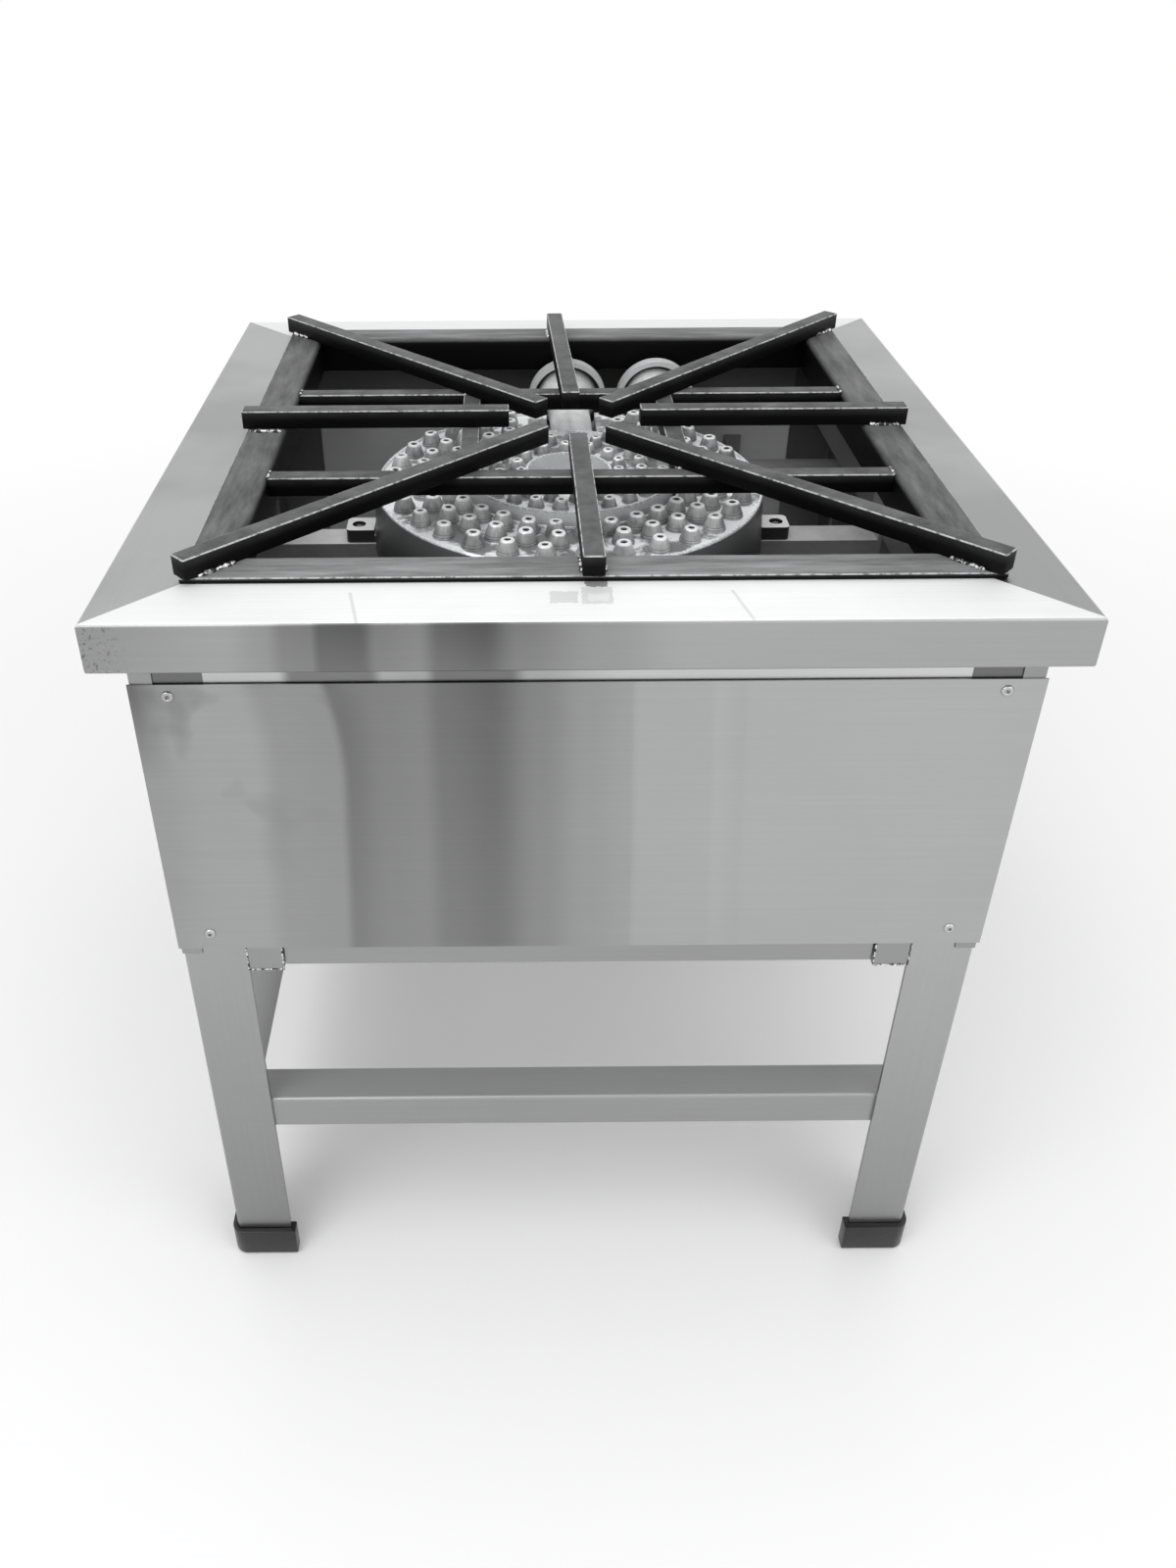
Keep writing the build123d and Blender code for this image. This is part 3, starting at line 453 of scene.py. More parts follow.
legLook = {
    "shade": (0.04, 0.34),  # heights between which a leg lightens
    "tones": (0.565, 0.64),
    "rightLitGain": 0.12,
    "head": 0.574,
    "boxFoot": 0.3555,  # the panels end here; below it both faces of a leg are in the light
    "endWithin": 0.24,
    "endFacing": 0.5,
}


def legSteel():
    look = legLook
    steel = Steel("legSteel", "Z", 0.64)
    z = steel.axis("Z")
    shaded = steel.mix(z.span(*look["shade"]), *map(linear, look["tones"]))
    # painted light: the right-hand legs lighter
    steel.value = shaded * (1.0 + (steel.axis("X") > 0.0) * look["rightLitGain"])
    # painted shade under the skirt
    steel.tone(z > look["head"], 0.45)
    edges = [  # the angle's cut edges stay in the light
        (abs(steel.axis(way)) < look["endWithin"]) * (abs(steel.facing(way)) > look["endFacing"])
        for way in "XY"
    ]
    # painted shade inside the box, but not on the cut edges
    boxShade = (z > look["boxFoot"]) * steel.inner() * (1.0 - (edges[0] + edges[1]).held())
    steel.tone(boxShade, 0.35)
    steel.metal = 1.0 - boxShade * 0.75
    return steel.finish()


def stretcherSteel():
    steel = Steel("stretcherSteel", "X", 0.62)
    up = steel.level()
    # painted highlight: the top lighter, with less metal
    steel.tone(up, 0.66)
    steel.metal = 1.0 - up * 0.7
    return steel.finish()


trayLook = {"stain": 11.0, "stainSpan": (0.35, 0.65), "tones": (0.42, 0.6)}


def traySteel():
    look = trayLook
    steel = Steel("traySteel", "X", 0.61)
    stain = steel.noise(look["stain"], 4.0, 0.6)
    up = steel.up()
    steel.tone(up, steel.mix(stain.span(*look["stainSpan"]), *map(linear, look["tones"])))
    steel.metal = 1.0 - up * 0.7
    return steel.finish()


def dullSteel(name, tone, metal=1.0, rough=0.45):
    paint = Paint(name, Metallic=metal)
    mottle = paint.noise(45.0, 5.0, 0.6)
    stain = paint.noise(12.0, 3.0, 0.6)
    paint.colour((1.0 + (mottle - 0.5) * 0.35 + (stain - 0.5) * 0.3) * linear(tone))
    paint.set("Roughness", rough + (mottle - 0.5) * 0.2)
    paint.bump(mottle, 0.15, 0.0006)
    return paint.material


crossRailLook = {"side": 0.6, "top": (0.95, 0.82), "change": (-0.02, 0.14)}


def crossRailSteel():  # hot-rolled channel, with painted light: its top paler than its sides, and paler still towards the left, where it lies in shade
    look = crossRailLook
    paint = Paint("crossRailSteel", Metallic=0.15)
    mottle = paint.noise(60.0, 5.0, 0.65)
    # painted light on the top, paler towards the left
    top = paint.mix(paint.axis("X").span(*look["change"]), *map(linear, look["top"]))
    value = paint.mix(paint.up(), linear(look["side"]), top)
    paint.colour((1.0 + (mottle - 0.5) * 0.5) * value)
    paint.set("Roughness", 0.45 + (mottle - 0.5) * 0.2)
    paint.bump(mottle, 0.2, 0.0005)
    return paint.material


boltSteel = dullSteel("boltSteel", 0.5, 0.6)
rivetSteel = dullSteel("rivetSteel", 0.72, rough=0.3)
# painted shade: a darker, duller steel for the rails inside the box
shadedRailSteel = dullSteel("shadedRailSteel", 0.45, 0.25)
railSteel = stretcherSteel()
sideRailSteel = plainSteel("sideRailSteel", "Y", 0.6)

paintLook = {
    "barTopReflection": 0.35,
    "side": 0.045,
    "wornEdgeAndGlint": 0.74,
    "grit": 900.0,
    "worn": 38.0,
    "chips": 210.0,
    "topBase": 0.62,
    "wornSpan": (0.35, 0.7),
    "wornGain": 0.85,
    "gritDepth": 0.5,
    "edgeUp": 0.2,
    "chipSpan": (0.4, 0.52),
    "chipShare": 0.75,
    "edgeShare": 0.2,
    "tint": (0.99, 1.0, 1.01),
    "bump": (0.25, 0.0003),
}


def blackPaint(name, topReflectionTone, streaks=(1.0, 1.0, 1.0)):  # painted reflection: the top faces grey with streaks and grit over near-black sides; top edges lighter, partly worn paint and partly painted highlight
    look = paintLook
    paint = Paint(name, Specular_IOR_Level=0.08)
    grit = paint.noise(look["grit"], 3.0, 0.6)
    worn = paint.noise(look["worn"], 5.0, 0.65, streaks)
    chips = paint.noise(look["chips"], 4.0, 0.7)
    up = paint.up()
    rubbed = worn.span(*look["wornSpan"]) * look["wornGain"]
    # painted reflection on the top faces
    top = linear(topReflectionTone) * (look["topBase"] + rubbed + (grit - 0.5) * look["gritDepth"])
    value = linear(look["side"]) + up * top
    chipped = chips.span(*look["chipSpan"]) * look["chipShare"] + look["edgeShare"]
    # top edges: worn paint and painted highlight
    edge = paint.mark("worn") * (up > look["edgeUp"]) * chipped
    value = paint.mix(edge, value, linear(look["wornEdgeAndGlint"]))
    paint.colour(value, look["tint"])
    paint.set("Roughness", 0.46 + (grit - 0.5) * 0.3)
    paint.bump(grit, *look["bump"])
    return paint.material


castLook = {
    "outer": {"plate": 0.585, "rim": 0.1505, "foot": 0.544, "wall": (0.22, 0.46), "hole": 0.7, "worn": 0.52},
    "inner": {"plate": 0.594, "rim": 0.081, "foot": 0.559, "wall": (0.75, 0.9), "hole": 0.9, "worn": 0.6},
    "sand": 420.0,
    "stain": 32.0,
    "flatUp": 0.6,
    "rimBand": (0.016, 0.003),  # the painted highlight on the plate grows between these distances inside the rim
    "scourFrom": 0.47,
    "scourGain": 12.0,
    "rimHighlightGain": 1.3,
    "wallFade": 1.6,
    "holeSide": 0.01,
    "rimAbove": 0.0004,
    "rimHighlightTone": 0.97,
    "tint": (0.96, 0.99, 1.0),
    "bump": (0.3, 0.0006),
}


def ringCasting(name, ring):  # plate pale with scouring and a painted highlight near the rim, a painted highlight on the rim, the wall darker towards its foot, the hole's sides painted lighter
    look = castLook
    paint = Paint(name)
    sand = paint.noise(look["sand"], 4.0, 0.6)
    stain = paint.noise(look["stain"], 5.0, 0.65)
    z = paint.axis("Z")
    wide, narrow = look["rimBand"]
    rimHighlight = paint.out().span(ring["rim"] - wide, ring["rim"] - narrow)
    scouredAndLit = ((stain - look["scourFrom"]) * look["scourGain"] + rimHighlight * look["rimHighlightGain"]).held()
    plate = paint.mix(scouredAndLit, linear(ring["worn"]), 1.0)
    # the wall darker towards its foot
    rise = z.span(ring["foot"], ring["plate"]) ** look["wallFade"]
    wall = paint.mix(rise, *map(linear, ring["wall"]))
    # painted light: the hole's sides lighter
    wall = paint.mix(paint.inward() > look["holeSide"], wall, linear(ring["hole"]))
    value = paint.mix(paint.up() > look["flatUp"], wall, plate)
    # painted highlight on the rim
    rim = z > ring["plate"] + look["rimAbove"]
    value = paint.mix(rim, value, linear(look["rimHighlightTone"]))
    paint.colour(((1.0 + (sand - 0.5) * 0.3 + (stain - 0.5) * 0.3) * value).held(), look["tint"])
    paint.set("Metallic", 0.08 + rim * 0.2)
    paint.set("Roughness", 0.36 - rim * 0.1 + (sand - 0.5) * 0.3)
    paint.bump(sand, *look["bump"])
    return paint.material


def earCasting():  # outer base: ears with painted light, bright on top and dark at the sides
    look = castLook
    paint = Paint("earCasting", Metallic=0.1)
    sand = paint.noise(look["sand"], 4.0, 0.6)
    # painted light: tops bright, sides dark
    value = paint.mix(paint.up() > look["flatUp"], linear(0.2), 1.0)
    paint.colour(((1.05 + (sand - 0.5) * 0.35) * value).held())
    paint.set("Roughness", 0.45 + (sand - 0.5) * 0.3)
    paint.bump(sand, *look["bump"])
    return paint.material


bellLook = {
    "axes": (0.008, 0.09),
    "height": 0.5781,
    "lipFront": 0.2046,
    "shadowGroove": (0.0278, 0.0318),
    "sand": 380.0,
    "stain": 24.0,
    "stainSpan": (0.36, 0.62),
    "tones": (0.82, 1.0),
    "lipTone": 0.82,
    "grooveShadowTone": 0.2,
}


def tubeCasting():  # silver-painted tubes, with a painted shadow in the groove behind each bell's lip
    look = bellLook
    paint = Paint("tubeCasting", Metallic=0.1)
    sand = paint.noise(look["sand"], 4.0, 0.6)
    stain = paint.noise(look["stain"], 4.0, 0.6)
    x = paint.axis("X")
    middle = paint.mix(x > sum(look["axes"]) / 2, *look["axes"])
    across, rise = x - middle, paint.axis("Z") - look["height"]
    fromAxis = (across * across + rise * rise) ** 0.5
    atBell = paint.axis("Y") > look["lipFront"]
    inside, outside = look["shadowGroove"]
    value = paint.mix(stain.span(*look["stainSpan"]), *map(linear, look["tones"]))
    value = paint.mix(atBell * (fromAxis > outside), value, linear(look["lipTone"]))
    # painted shadow in the groove behind the lip
    shadowGroove = atBell * (fromAxis > inside) * (fromAxis < outside)
    value = paint.mix(shadowGroove, value, linear(look["grooveShadowTone"]))
    paint.colour(((1.0 + (sand - 0.5) * 0.3) * value).held(), (0.98, 1.0, 1.0))
    paint.set("Roughness", 0.4 + (sand - 0.5) * 0.3)
    paint.bump(sand, 0.25, 0.0006)
    return paint.material


jetTones = {
    "middle": 0.9,
    "streaks": (240.0, 240.0, 90.0),
    "streakDepth": 1.3,
    "tarnish": 28.0,
    "tarnishDepth": 2.2,
    "darkest": 0.25,
    "tint": (0.98, 1.0, 1.0),
}


def jetFinish():  # painted light from each jet's shade mark: painted highlight on the flat tip, painted shade in the tool rings, at the foot and in the port; streaked, tarnished sides
    look = jetTones
    paint = Paint("jetSteel", Metallic=0.2)
    streaks = paint.noise(1.0, 3.0, 0.6, look["streaks"]) - 0.5
    tarnish = paint.noise(look["tarnish"], 3.0, 0.6) - 0.5
    factor = look["middle"] + streaks * look["streakDepth"] + tarnish * look["tarnishDepth"]
    shade = paint.mark("shade") * factor.step("MAXIMUM", look["darkest"])
    paint.colour(shade.held(), look["tint"])
    paint.set("Roughness", 0.4 + tarnish * 0.25)
    return paint.material


weldLook = {"size": 320.0, "span": (0.46, 0.58), "tones": (0.2, 0.92)}


def weldFinish():  # spatter: grey drops with bright spots painted as glints
    look = weldLook
    paint = Paint("weldSteel", Metallic=0.7)
    spots = paint.noise(look["size"], 3.0, 0.6)
    paint.colour(paint.mix(spots.span(*look["span"]), *map(linear, look["tones"])))
    paint.set("Roughness", 0.3 + spots * 0.2)
    return paint.material


def brassFinish():
    paint = Paint("machinedBrass", Metallic=1.0)
    mottle = paint.noise(60.0, 4.0, 0.6)
    paint.colour(1.0 + (mottle - 0.5) * 0.3, (0.6, 0.43, 0.19))
    paint.set("Roughness", 0.28 + (mottle - 0.5) * 0.2)
    return paint.material


def blackPlastic(name, depth, rough):
    paint = Paint(name)
    worn = paint.noise(90.0, 4.0, 0.6)
    paint.colour(depth + worn * depth)
    paint.set("Roughness", rough + (worn - 0.5) * 0.25)
    paint.bump(worn, 0.1, 0.0005)
    return paint.material


jetSteel = jetFinish()
weldSteel = weldFinish()
blackRubber = blackPlastic("blackRubber", 0.007, 0.3)
knobPlastic = blackPlastic("knobPlastic", 0.009, 0.38)
printedWhite = Paint("printedWhite", Base_Color=(0.75, 0.75, 0.75, 1.0), Roughness=0.5).material
skirt = skirtSteel()
sideTop = sideTopSteel()
pipePaint = dullSteel("pipePaint", 0.5, 0.0)

finishes = {
    "top_strip_front": skirt,
    "top_strip_rear": rearTopSteel(),
    "top_strip_left": sideTop,
    "top_strip_right": sideTop,
    "front_panel": frontPanelSteel(),
    "control_panel": insideShadedSteel("controlPanelSteel", "X", 0.66, 0.8),
    "drip_tray": traySteel(),
    "upper_rail_front": upperRailSteel(),
    "stretcher_left": sideRailSteel,
    "outer_burner_head": ringCasting("outerCasting", castLook["outer"]),
    "inner_burner_head": ringCasting("innerCasting", castLook["inner"]),
    "burner_cross_rail": crossRailSteel(),
    "panel_rivets": rivetSteel,
    "supply_tubes": dullSteel("tubeMetal", 0.75, rough=0.3),
    "gas_manifold": pipePaint,
    "manifold_plug": pipePaint,
    "grate_frame_front": blackPaint("frontFramePaint", 0.5, (0.35, 3.0, 1.0)),
    "grate_frame_rear": blackPaint("rearFramePaint", 0.46, (0.35, 3.0, 1.0)),
}
families = (
    ("leg_", legSteel()),
    ("stretcher_", railSteel),
    ("side_panel_", insideShadedSteel("sidePanelSteel", "Y", 0.6, 0.26)),
    ("tray_runner_", insideShadedSteel("runnerSteel", "Y", 0.6, 0.4)),
    ("upper_rail_", shadedRailSteel),
    ("foot_boot_", blackRubber),
    ("burner_side_rail", shadedRailSteel),
    ("manifold_brackets", dullSteel("bracketSteel", 0.6)),
    ("gas_valve", brassFinish()),
    ("injector", bpy.data.materials["machinedBrass"]),
    ("air_shutter", dullSteel("shutterSteel", 0.62, rough=0.35)),
    ("inner_burner_base", bpy.data.materials["innerCasting"]),
    ("outer_burner_base", earCasting()),
    ("knob", knobPlastic),
    ("grate_frame", blackPaint("sideFramePaint", 0.38, (2.5, 0.5, 1.0))),
    ("grate_", blackPaint("barPaint", paintLook["barTopReflection"])),
)
byWord = (
    ("mixing_tube", tubeCasting()),
    ("jets", jetSteel),
    ("stud", boltSteel),
    ("bolt", boltSteel),
    ("stem", boltSteel),
)


def finishOf(name):
    if name in finishes:
        return finishes[name]
    for start, finish in families:
        if name.startswith(start):
            return finish
    return next(finish for word, finish in byWord if word in name)


for name, node in nodes.items():
    node.data.materials.clear()
    node.data.materials.append(finishOf(name))
print("finishes set:", len(bpy.data.materials))


class Growth(Net):  # a Geometry Nodes tree with named inputs
    def __init__(self, name, inputs):
        self.tree = bpy.data.node_groups.new(name, "GeometryNodeTree")
        self.ids = {}
        self.addSocket("Geometry", "INPUT", "Geometry")
        self.addSocket("Geometry", "OUTPUT", "Geometry")
        for label, kind in inputs.items():
            self.ids[label] = self.addSocket(label, "INPUT", kind).identifier
        self.enter = self.tree.nodes.new("NodeGroupInput")

    def addSocket(self, label, side, kind):
        kind = "NodeSocket" + kind
        return self.tree.interface.new_socket(label, in_out=side, socket_type=kind)

    def take(self, label):
        return Wire(self, self.enter.outputs[label])

    def finish(self, geometry):  # every tree ends in plain, painted mesh
        solid = self.add("GeometryNodeRealizeInstances", {}, {"Geometry": geometry})
        sockets = {"Geometry": solid, "Material": self.take("Material")}
        painted = self.add("GeometryNodeSetMaterial", {}, sockets)
        leave = self.tree.nodes.new("NodeGroupOutput")
        self.feed(leave.inputs["Geometry"], painted)


halfTurn = 3.14
sizeSeed = 7.0  # keeps the sizes' draws apart from the turns'


def scatterTree():  # copies a piece onto every point, turned to the point's own direction
    growth = Growth("scatterPieces", {
        "Piece": "Object",
        "Tilt": "Float",
        "Uneven": "Float",
        "Seed": "Int",
        "Material": "Material",
    })
    piece = growth.add("GeometryNodeObjectInfo", {}, {"Object": growth.take("Piece")}, "Geometry")
    settings = {"data_type": "FLOAT_VECTOR"}
    outward = growth.add("GeometryNodeInputNamedAttribute", settings, {"Name": "outward"})
    aim = growth.add("FunctionNodeAlignRotationToVector", {"axis": "Z"}, {"Vector": outward})
    tilt = growth.take("Tilt")
    low = growth.add("ShaderNodeCombineXYZ", {}, {0: tilt * -1.0, 1: tilt * -1.0, 2: -halfTurn})
    high = growth.add("ShaderNodeCombineXYZ", {}, {0: tilt, 1: tilt, 2: halfTurn})
    seed = growth.take("Seed")
    wobble = growth.add("FunctionNodeRandomValue", settings, {"Min": low, "Max": high, "Seed": seed})
    turn = growth.add("FunctionNodeEulerToRotation", {}, {0: wobble})
    turned = growth.add("FunctionNodeRotateRotation", {"rotation_space": "LOCAL"}, {0: aim, 1: turn})
    uneven = growth.take("Uneven")
    sockets = {2: 1.0 - uneven, 3: 1.0 + uneven, "Seed": seed + sizeSeed}
    size = growth.add("FunctionNodeRandomValue", {"data_type": "FLOAT"}, sockets, 1)
    sockets = {"Points": growth.take("Geometry"), "Instance": piece, "Rotation": turned, "Scale": size}
    growth.finish(growth.add("GeometryNodeInstanceOnPoints", {}, sockets))
    return growth


def beadTree():  # overlapping drops of weld along every edge path
    growth = Growth("weldBeads", {
        "Drop": "Object",
        "Spacing": "Float",
        "Uneven": "Float",
        "Seed": "Int",
        "Material": "Material",
    })
    path = growth.add("GeometryNodeMeshToCurve", {}, {0: growth.take("Geometry")})
    sockets = {"Curve": path, "Length": growth.take("Spacing")}
    points = growth.add("GeometryNodeResampleCurve", {"mode": "LENGTH"}, sockets)
    drop = growth.add("GeometryNodeObjectInfo", {}, {"Object": growth.take("Drop")}, "Geometry")
    uneven = growth.take("Uneven")
    seed = growth.take("Seed")
    sockets = {2: 1.0 - uneven, 3: 1.0 + uneven, "Seed": seed}
    size = growth.add("FunctionNodeRandomValue", {"data_type": "FLOAT"}, sockets, 1)
    sockets = {"Min": (-halfTurn,) * 3, "Max": (halfTurn,) * 3, "Seed": seed}
    turn = growth.add("FunctionNodeRandomValue", {"data_type": "FLOAT_VECTOR"}, sockets)
    turned = growth.add("FunctionNodeEulerToRotation", {}, {0: turn})
    sockets = {"Points": points, "Instance": drop, "Rotation": turned, "Scale": size}
    growth.finish(growth.add("GeometryNodeInstanceOnPoints", {}, sockets))
    return growth


scatter = scatterTree()
beads = beadTree()


def newPiece(name, mesh):
    piece = bpy.data.objects.new(name, mesh)
    bpy.context.scene.collection.objects.link(piece)
    return piece


def bodyOf(name):
    return nodes[name]["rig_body"]


def slotOf(name):
    rows = frame["record"]["subparts"]
    return next(row["material_slot"] for row in rows if row["node"] == name)


def settle(piece, body, slotName, *replaced):
    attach(piece, body)
    if replaced:
        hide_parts(*replaced)
    return piece


edgeLook = {  # distances in metres, angles in degrees
    "latheWeld": 0.0000001,
    "latheSharp": 38,
    "weld": 0.00001,
    "flat": 1,
    "hard": 35,
    "sharp": 40,
}


def latheMesh(name, profile, sides):  # turns (radius, height, shade) rows, in mm, about Z
    work = bmesh.new()
    layer = work.verts.layers.float.new("shade")
    rings = []
    for radius, height, *shade in profile:
        turns = [2 * math.pi * index / sides for index in range(sides if radius else 1)]
        spots = [(radius * math.cos(turn), radius * math.sin(turn), height) for turn in turns]
        rings.append([work.verts.new([part / 1000 for part in spot]) for spot in spots])
        for vert in rings[-1]:
            vert[layer] = shade[0] if shade else 1.0
    for low, high in zip(rings, rings[1:]):
        for index in range(sides):
            after = (index + 1) % sides
            steps = ((low, index), (low, after), (high, after), (high, index))
            corners = [ring[step % len(ring)] for ring, step in steps]
            work.faces.new(list(dict.fromkeys(corners)))
    bmesh.ops.remove_doubles(work, verts=work.verts, dist=edgeLook["latheWeld"])
    bmesh.ops.recalc_face_normals(work, faces=work.faces)
    mesh = bpy.data.meshes.new(name)
    work.to_mesh(mesh)
    work.free()
    mesh.shade_smooth()
    mesh.set_sharp_from_angle(angle=math.radians(edgeLook["latheSharp"]))
    return mesh


def pointMesh(name, spots, directions):  # loose points in mm, each with the way it looks
    mesh = bpy.data.meshes.new(name)
    mesh.from_pydata([[part / 1000 for part in spot] for spot in spots], [], [])
    outward = mesh.attributes.new("outward", "FLOAT_VECTOR", "POINT")
    outward.data.foreach_set("vector", [part for way in directions for part in way])
    return mesh


def pathMesh(name, paths):  # open lines in mm
    mesh = bpy.data.meshes.new(name)
    spots, edges = [], []
    for path in paths:
        start = len(spots)
        spots += [[part / 1000 for part in spot] for spot in path]
        edges += [(start + step, start + step + 1) for step in range(len(path) - 1)]
    mesh.from_pydata(spots, edges, [])
    return mesh


def grow(name, mesh, growth, values):  # runs a tree once and keeps its plain mesh
    piece = newPiece(name, mesh)
    modifier = piece.modifiers.new(name, "NODES")
    modifier.node_group = growth.tree
    for label, value in values.items():
        modifier[growth.ids[label]] = value
    bpy.context.view_layer.update()
    depsgraph = bpy.context.evaluated_depsgraph_get()
    plain = bpy.data.meshes.new_from_object(piece.evaluated_get(depsgraph))
    piece.modifiers.clear()
    piece.data = plain
    return piece


def scatterOn(name, spots, directions, model, material, tilt=0.0, uneven=0.0, seed=1):
    pattern = bpy.data.objects.new(name + "Model", model)
    values = {"Piece": pattern, "Tilt": tilt, "Uneven": uneven, "Seed": seed, "Material": material}
    piece = grow(name, pointMesh(name, spots, directions), scatter, values)
    bpy.data.objects.remove(pattern)
    return piece


def beadAlong(name, paths, size, material, spacing=0.8, uneven=0.35, seed=3):
    work = bmesh.new()
    bmesh.ops.create_icosphere(work, subdivisions=2, radius=size / 1000)
    model = bpy.data.meshes.new(name + "Drop")
    work.to_mesh(model)
    work.free()
    model.shade_smooth()
    pattern = bpy.data.objects.new(name + "Model", model)
    values = {"Drop": pattern, "Spacing": size * spacing / 1000, "Uneven": uneven, "Seed": seed}
    piece = grow(name, pathMesh(name, paths), beads, {**values, "Material": material})
    bpy.data.objects.remove(pattern)
    return piece


def soften(name, width, segments=2):  # a CAD node with its hard edges eased, in mm
    work = bmesh.new()
    work.from_mesh(nodes[name].data)
    bmesh.ops.remove_doubles(work, verts=work.verts, dist=edgeLook["weld"])
    flat, steep = math.radians(edgeLook["flat"]), math.radians(edgeLook["hard"])
    bmesh.ops.dissolve_limit(work, angle_limit=flat, verts=work.verts, edges=work.edges)
    layer = work.faces.layers.float.new("worn")
    hard = [edge for edge in work.edges if edge.calc_face_angle(0) > steep]
    eased = bmesh.ops.bevel(
        work,
        geom=hard,
        offset=width / 1000,
        offset_type="OFFSET",
        segments=segments,
        profile=0.5,
        affect="EDGES",
        clamp_overlap=True,
    )
    for face in eased["faces"]:
        face[layer] = 1.0
    mesh = bpy.data.meshes.new(name + "Soft")
    work.to_mesh(mesh)
    work.free()
    mesh.materials.clear()
    mesh.materials.append(finishOf(name))
    mesh.shade_smooth()
    mesh.set_sharp_from_angle(angle=math.radians(edgeLook["sharp"]))
    piece = newPiece(name + "Soft", mesh)
    return settle(piece, bodyOf(name), slotOf(name), name)


# jets: squat turned cones with two tool rings at the foot and a drilled port
jetLook = {
    "outer": {
        "rows": ((98.6, 30, 10.2), (117.2, 31, 8.5), (137.4, 31, 5.4)),  # radius, count, first turn
        "plate": 585.0,
        "base": 8.4,
        "seed": 11,
        # radius, height and painted light: a highlight on the tip, shade in the rings, at the foot and in
        # the port
        "profile": (
            (8.3, 0.0, 0.3), (8.4, 1.2, 0.5), (8.15, 1.6, 0.15), (8.0, 2.1, 0.4), (8.0, 3.0, 0.5),
            (7.7, 3.4, 0.18), (7.55, 4.0, 0.42), (7.1, 5.4, 0.45), (6.3, 7.8, 0.48), (5.5, 10.0, 0.55),
            (5.1, 10.9, 1.3), (4.7, 11.3, 1.6), (2.7, 11.4, 1.6), (2.4, 11.1, 0.35), (2.2, 9.8, 0.03),
            (2.1, 6.5, 0.01), (0, 6.5, 0.01),
        ),
    },
    "inner": {
        "rows": ((40.6, 13, 92.0), (57.3, 19, 84.0), (74.1, 25, 90.0)),
        "plate": 594.0,
        "base": 6.4,
        "seed": 23,
        # radius, height and painted light: a highlight on the tip, shade in the rings, at the foot and in
        # the port
        "profile": (
            (6.3, 0.0, 0.3), (6.4, 1.1, 0.5), (6.1, 1.5, 0.15), (6.0, 2.2, 0.45), (5.7, 2.6, 0.2),
            (5.5, 3.4, 0.45), (4.9, 6.0, 0.5), (4.4, 7.6, 0.6), (4.0, 8.3, 1.3), (3.6, 8.6, 1.6),
            (2.1, 8.6, 1.6), (1.8, 8.2, 0.3), (1.6, 4.5, 0.01), (0, 4.5, 0.01),
        ),
    },
    "sink": 0.2,
    "sides": 16,
    "tilt": 0.06,
    "uneven": 0.04,
    "tubeX": 8.0,
    "tubeRadius": 18.5,
    "tubeStart": 73.0,
    "tubeGap": 2.0,
}


def jetSpots(ring):  # every place in the rows but those under the inner mixing tube
    look = jetLook
    crossing = look["tubeRadius"] + ring["base"] + look["tubeGap"]
    height = ring["plate"] - look["sink"]
    spots = []
    for radius, count, first in ring["rows"]:
        for index in range(count):
            turn = math.radians(first + 360 * index / count)
            x, y = radius * math.cos(turn), radius * math.sin(turn)
            if y > look["tubeStart"] - ring["base"] and abs(x - look["tubeX"]) < crossing:
                continue
            spots.append((x, y, height))
    return spots


def makeJets(kind):
    look, ring = jetLook, jetLook[kind]
    name, node = kind + "Jets", kind + "_jets"
    spots = jetSpots(ring)
    model = latheMesh(name + "Turned", ring["profile"], look["sides"])
    up = [(0, 0, 1)] * len(spots)
    piece = scatterOn(name, spots, up, model, jetSteel, look["tilt"], look["uneven"], ring["seed"])
    settle(piece, bodyOf(node), slotOf(node), node)
    return len(spots)


print("jets:", makeJets("outer") + makeJets("inner"))

# blind rivets: domed rim round a dark mandrel hole
rivetLook = {
    "x": 259.0,
    "y": 259.0,
    "high": 565.5,
    "low": 368.0,
    "front": 283.0,
    "side": 282.0,
    "head": (
        (4.1, -0.1), (4.05, 0.35), (3.5, 1.1), (2.7, 1.5), (1.7, 1.6), (1.35, 1.35), (1.25, 0.5), (0, 0.5),
    ),
    "headSides": 24,
    "pin": ((0.75, 0.3), (0.7, 1.0), (0.4, 1.25), (0, 1.3)),
    "pinSides": 12,
}


def makeRivets():
    look = rivetLook
    spots, ways = [], []
    for height in (look["high"], look["low"]):
        for side in (-1, 1):
            for end in (-1, 1):
                spots.append((side * look["x"], end * look["front"], height))
                spots.append((side * look["side"], end * look["y"], height))
                ways += [(0, end, 0), (side, 0, 0)]
    head = latheMesh("rivetHead", look["head"], look["headSides"])
    heads = scatterOn("rivetHeads", spots, ways, head, rivetSteel)
    settle(heads, "stand", "rivet_steel", "panel_rivets")
    pin = latheMesh("rivetPin", look["pin"], look["pinSides"])
    pins = scatterOn("rivetPins", spots, ways, pin, boltSteel)
    settle(pins, "stand", "bolt_steel")
    return len(spots)


print("rivets:", makeRivets())

# eased edges where light catches them
softEdges = {
    "grate_frame_front": 0.7,
    "grate_frame_rear": 0.7,
    "grate_frame_left": 0.7,
    "grate_frame_right": 0.7,
    "grate_cross_bars": 0.8,
    "grate_straight_bars": 0.8,
    "grate_diagonal_bars": 0.8,
    "foot_boot_front_left": 1.4,
    "foot_boot_front_right": 1.4,
    "foot_boot_rear_left": 1.4,
    "foot_boot_rear_right": 1.4,
}
for name, width in softEdges.items():
    soften(name, width, 3 if "boot" in name else 2)
print("eased pieces:", len(softEdges))

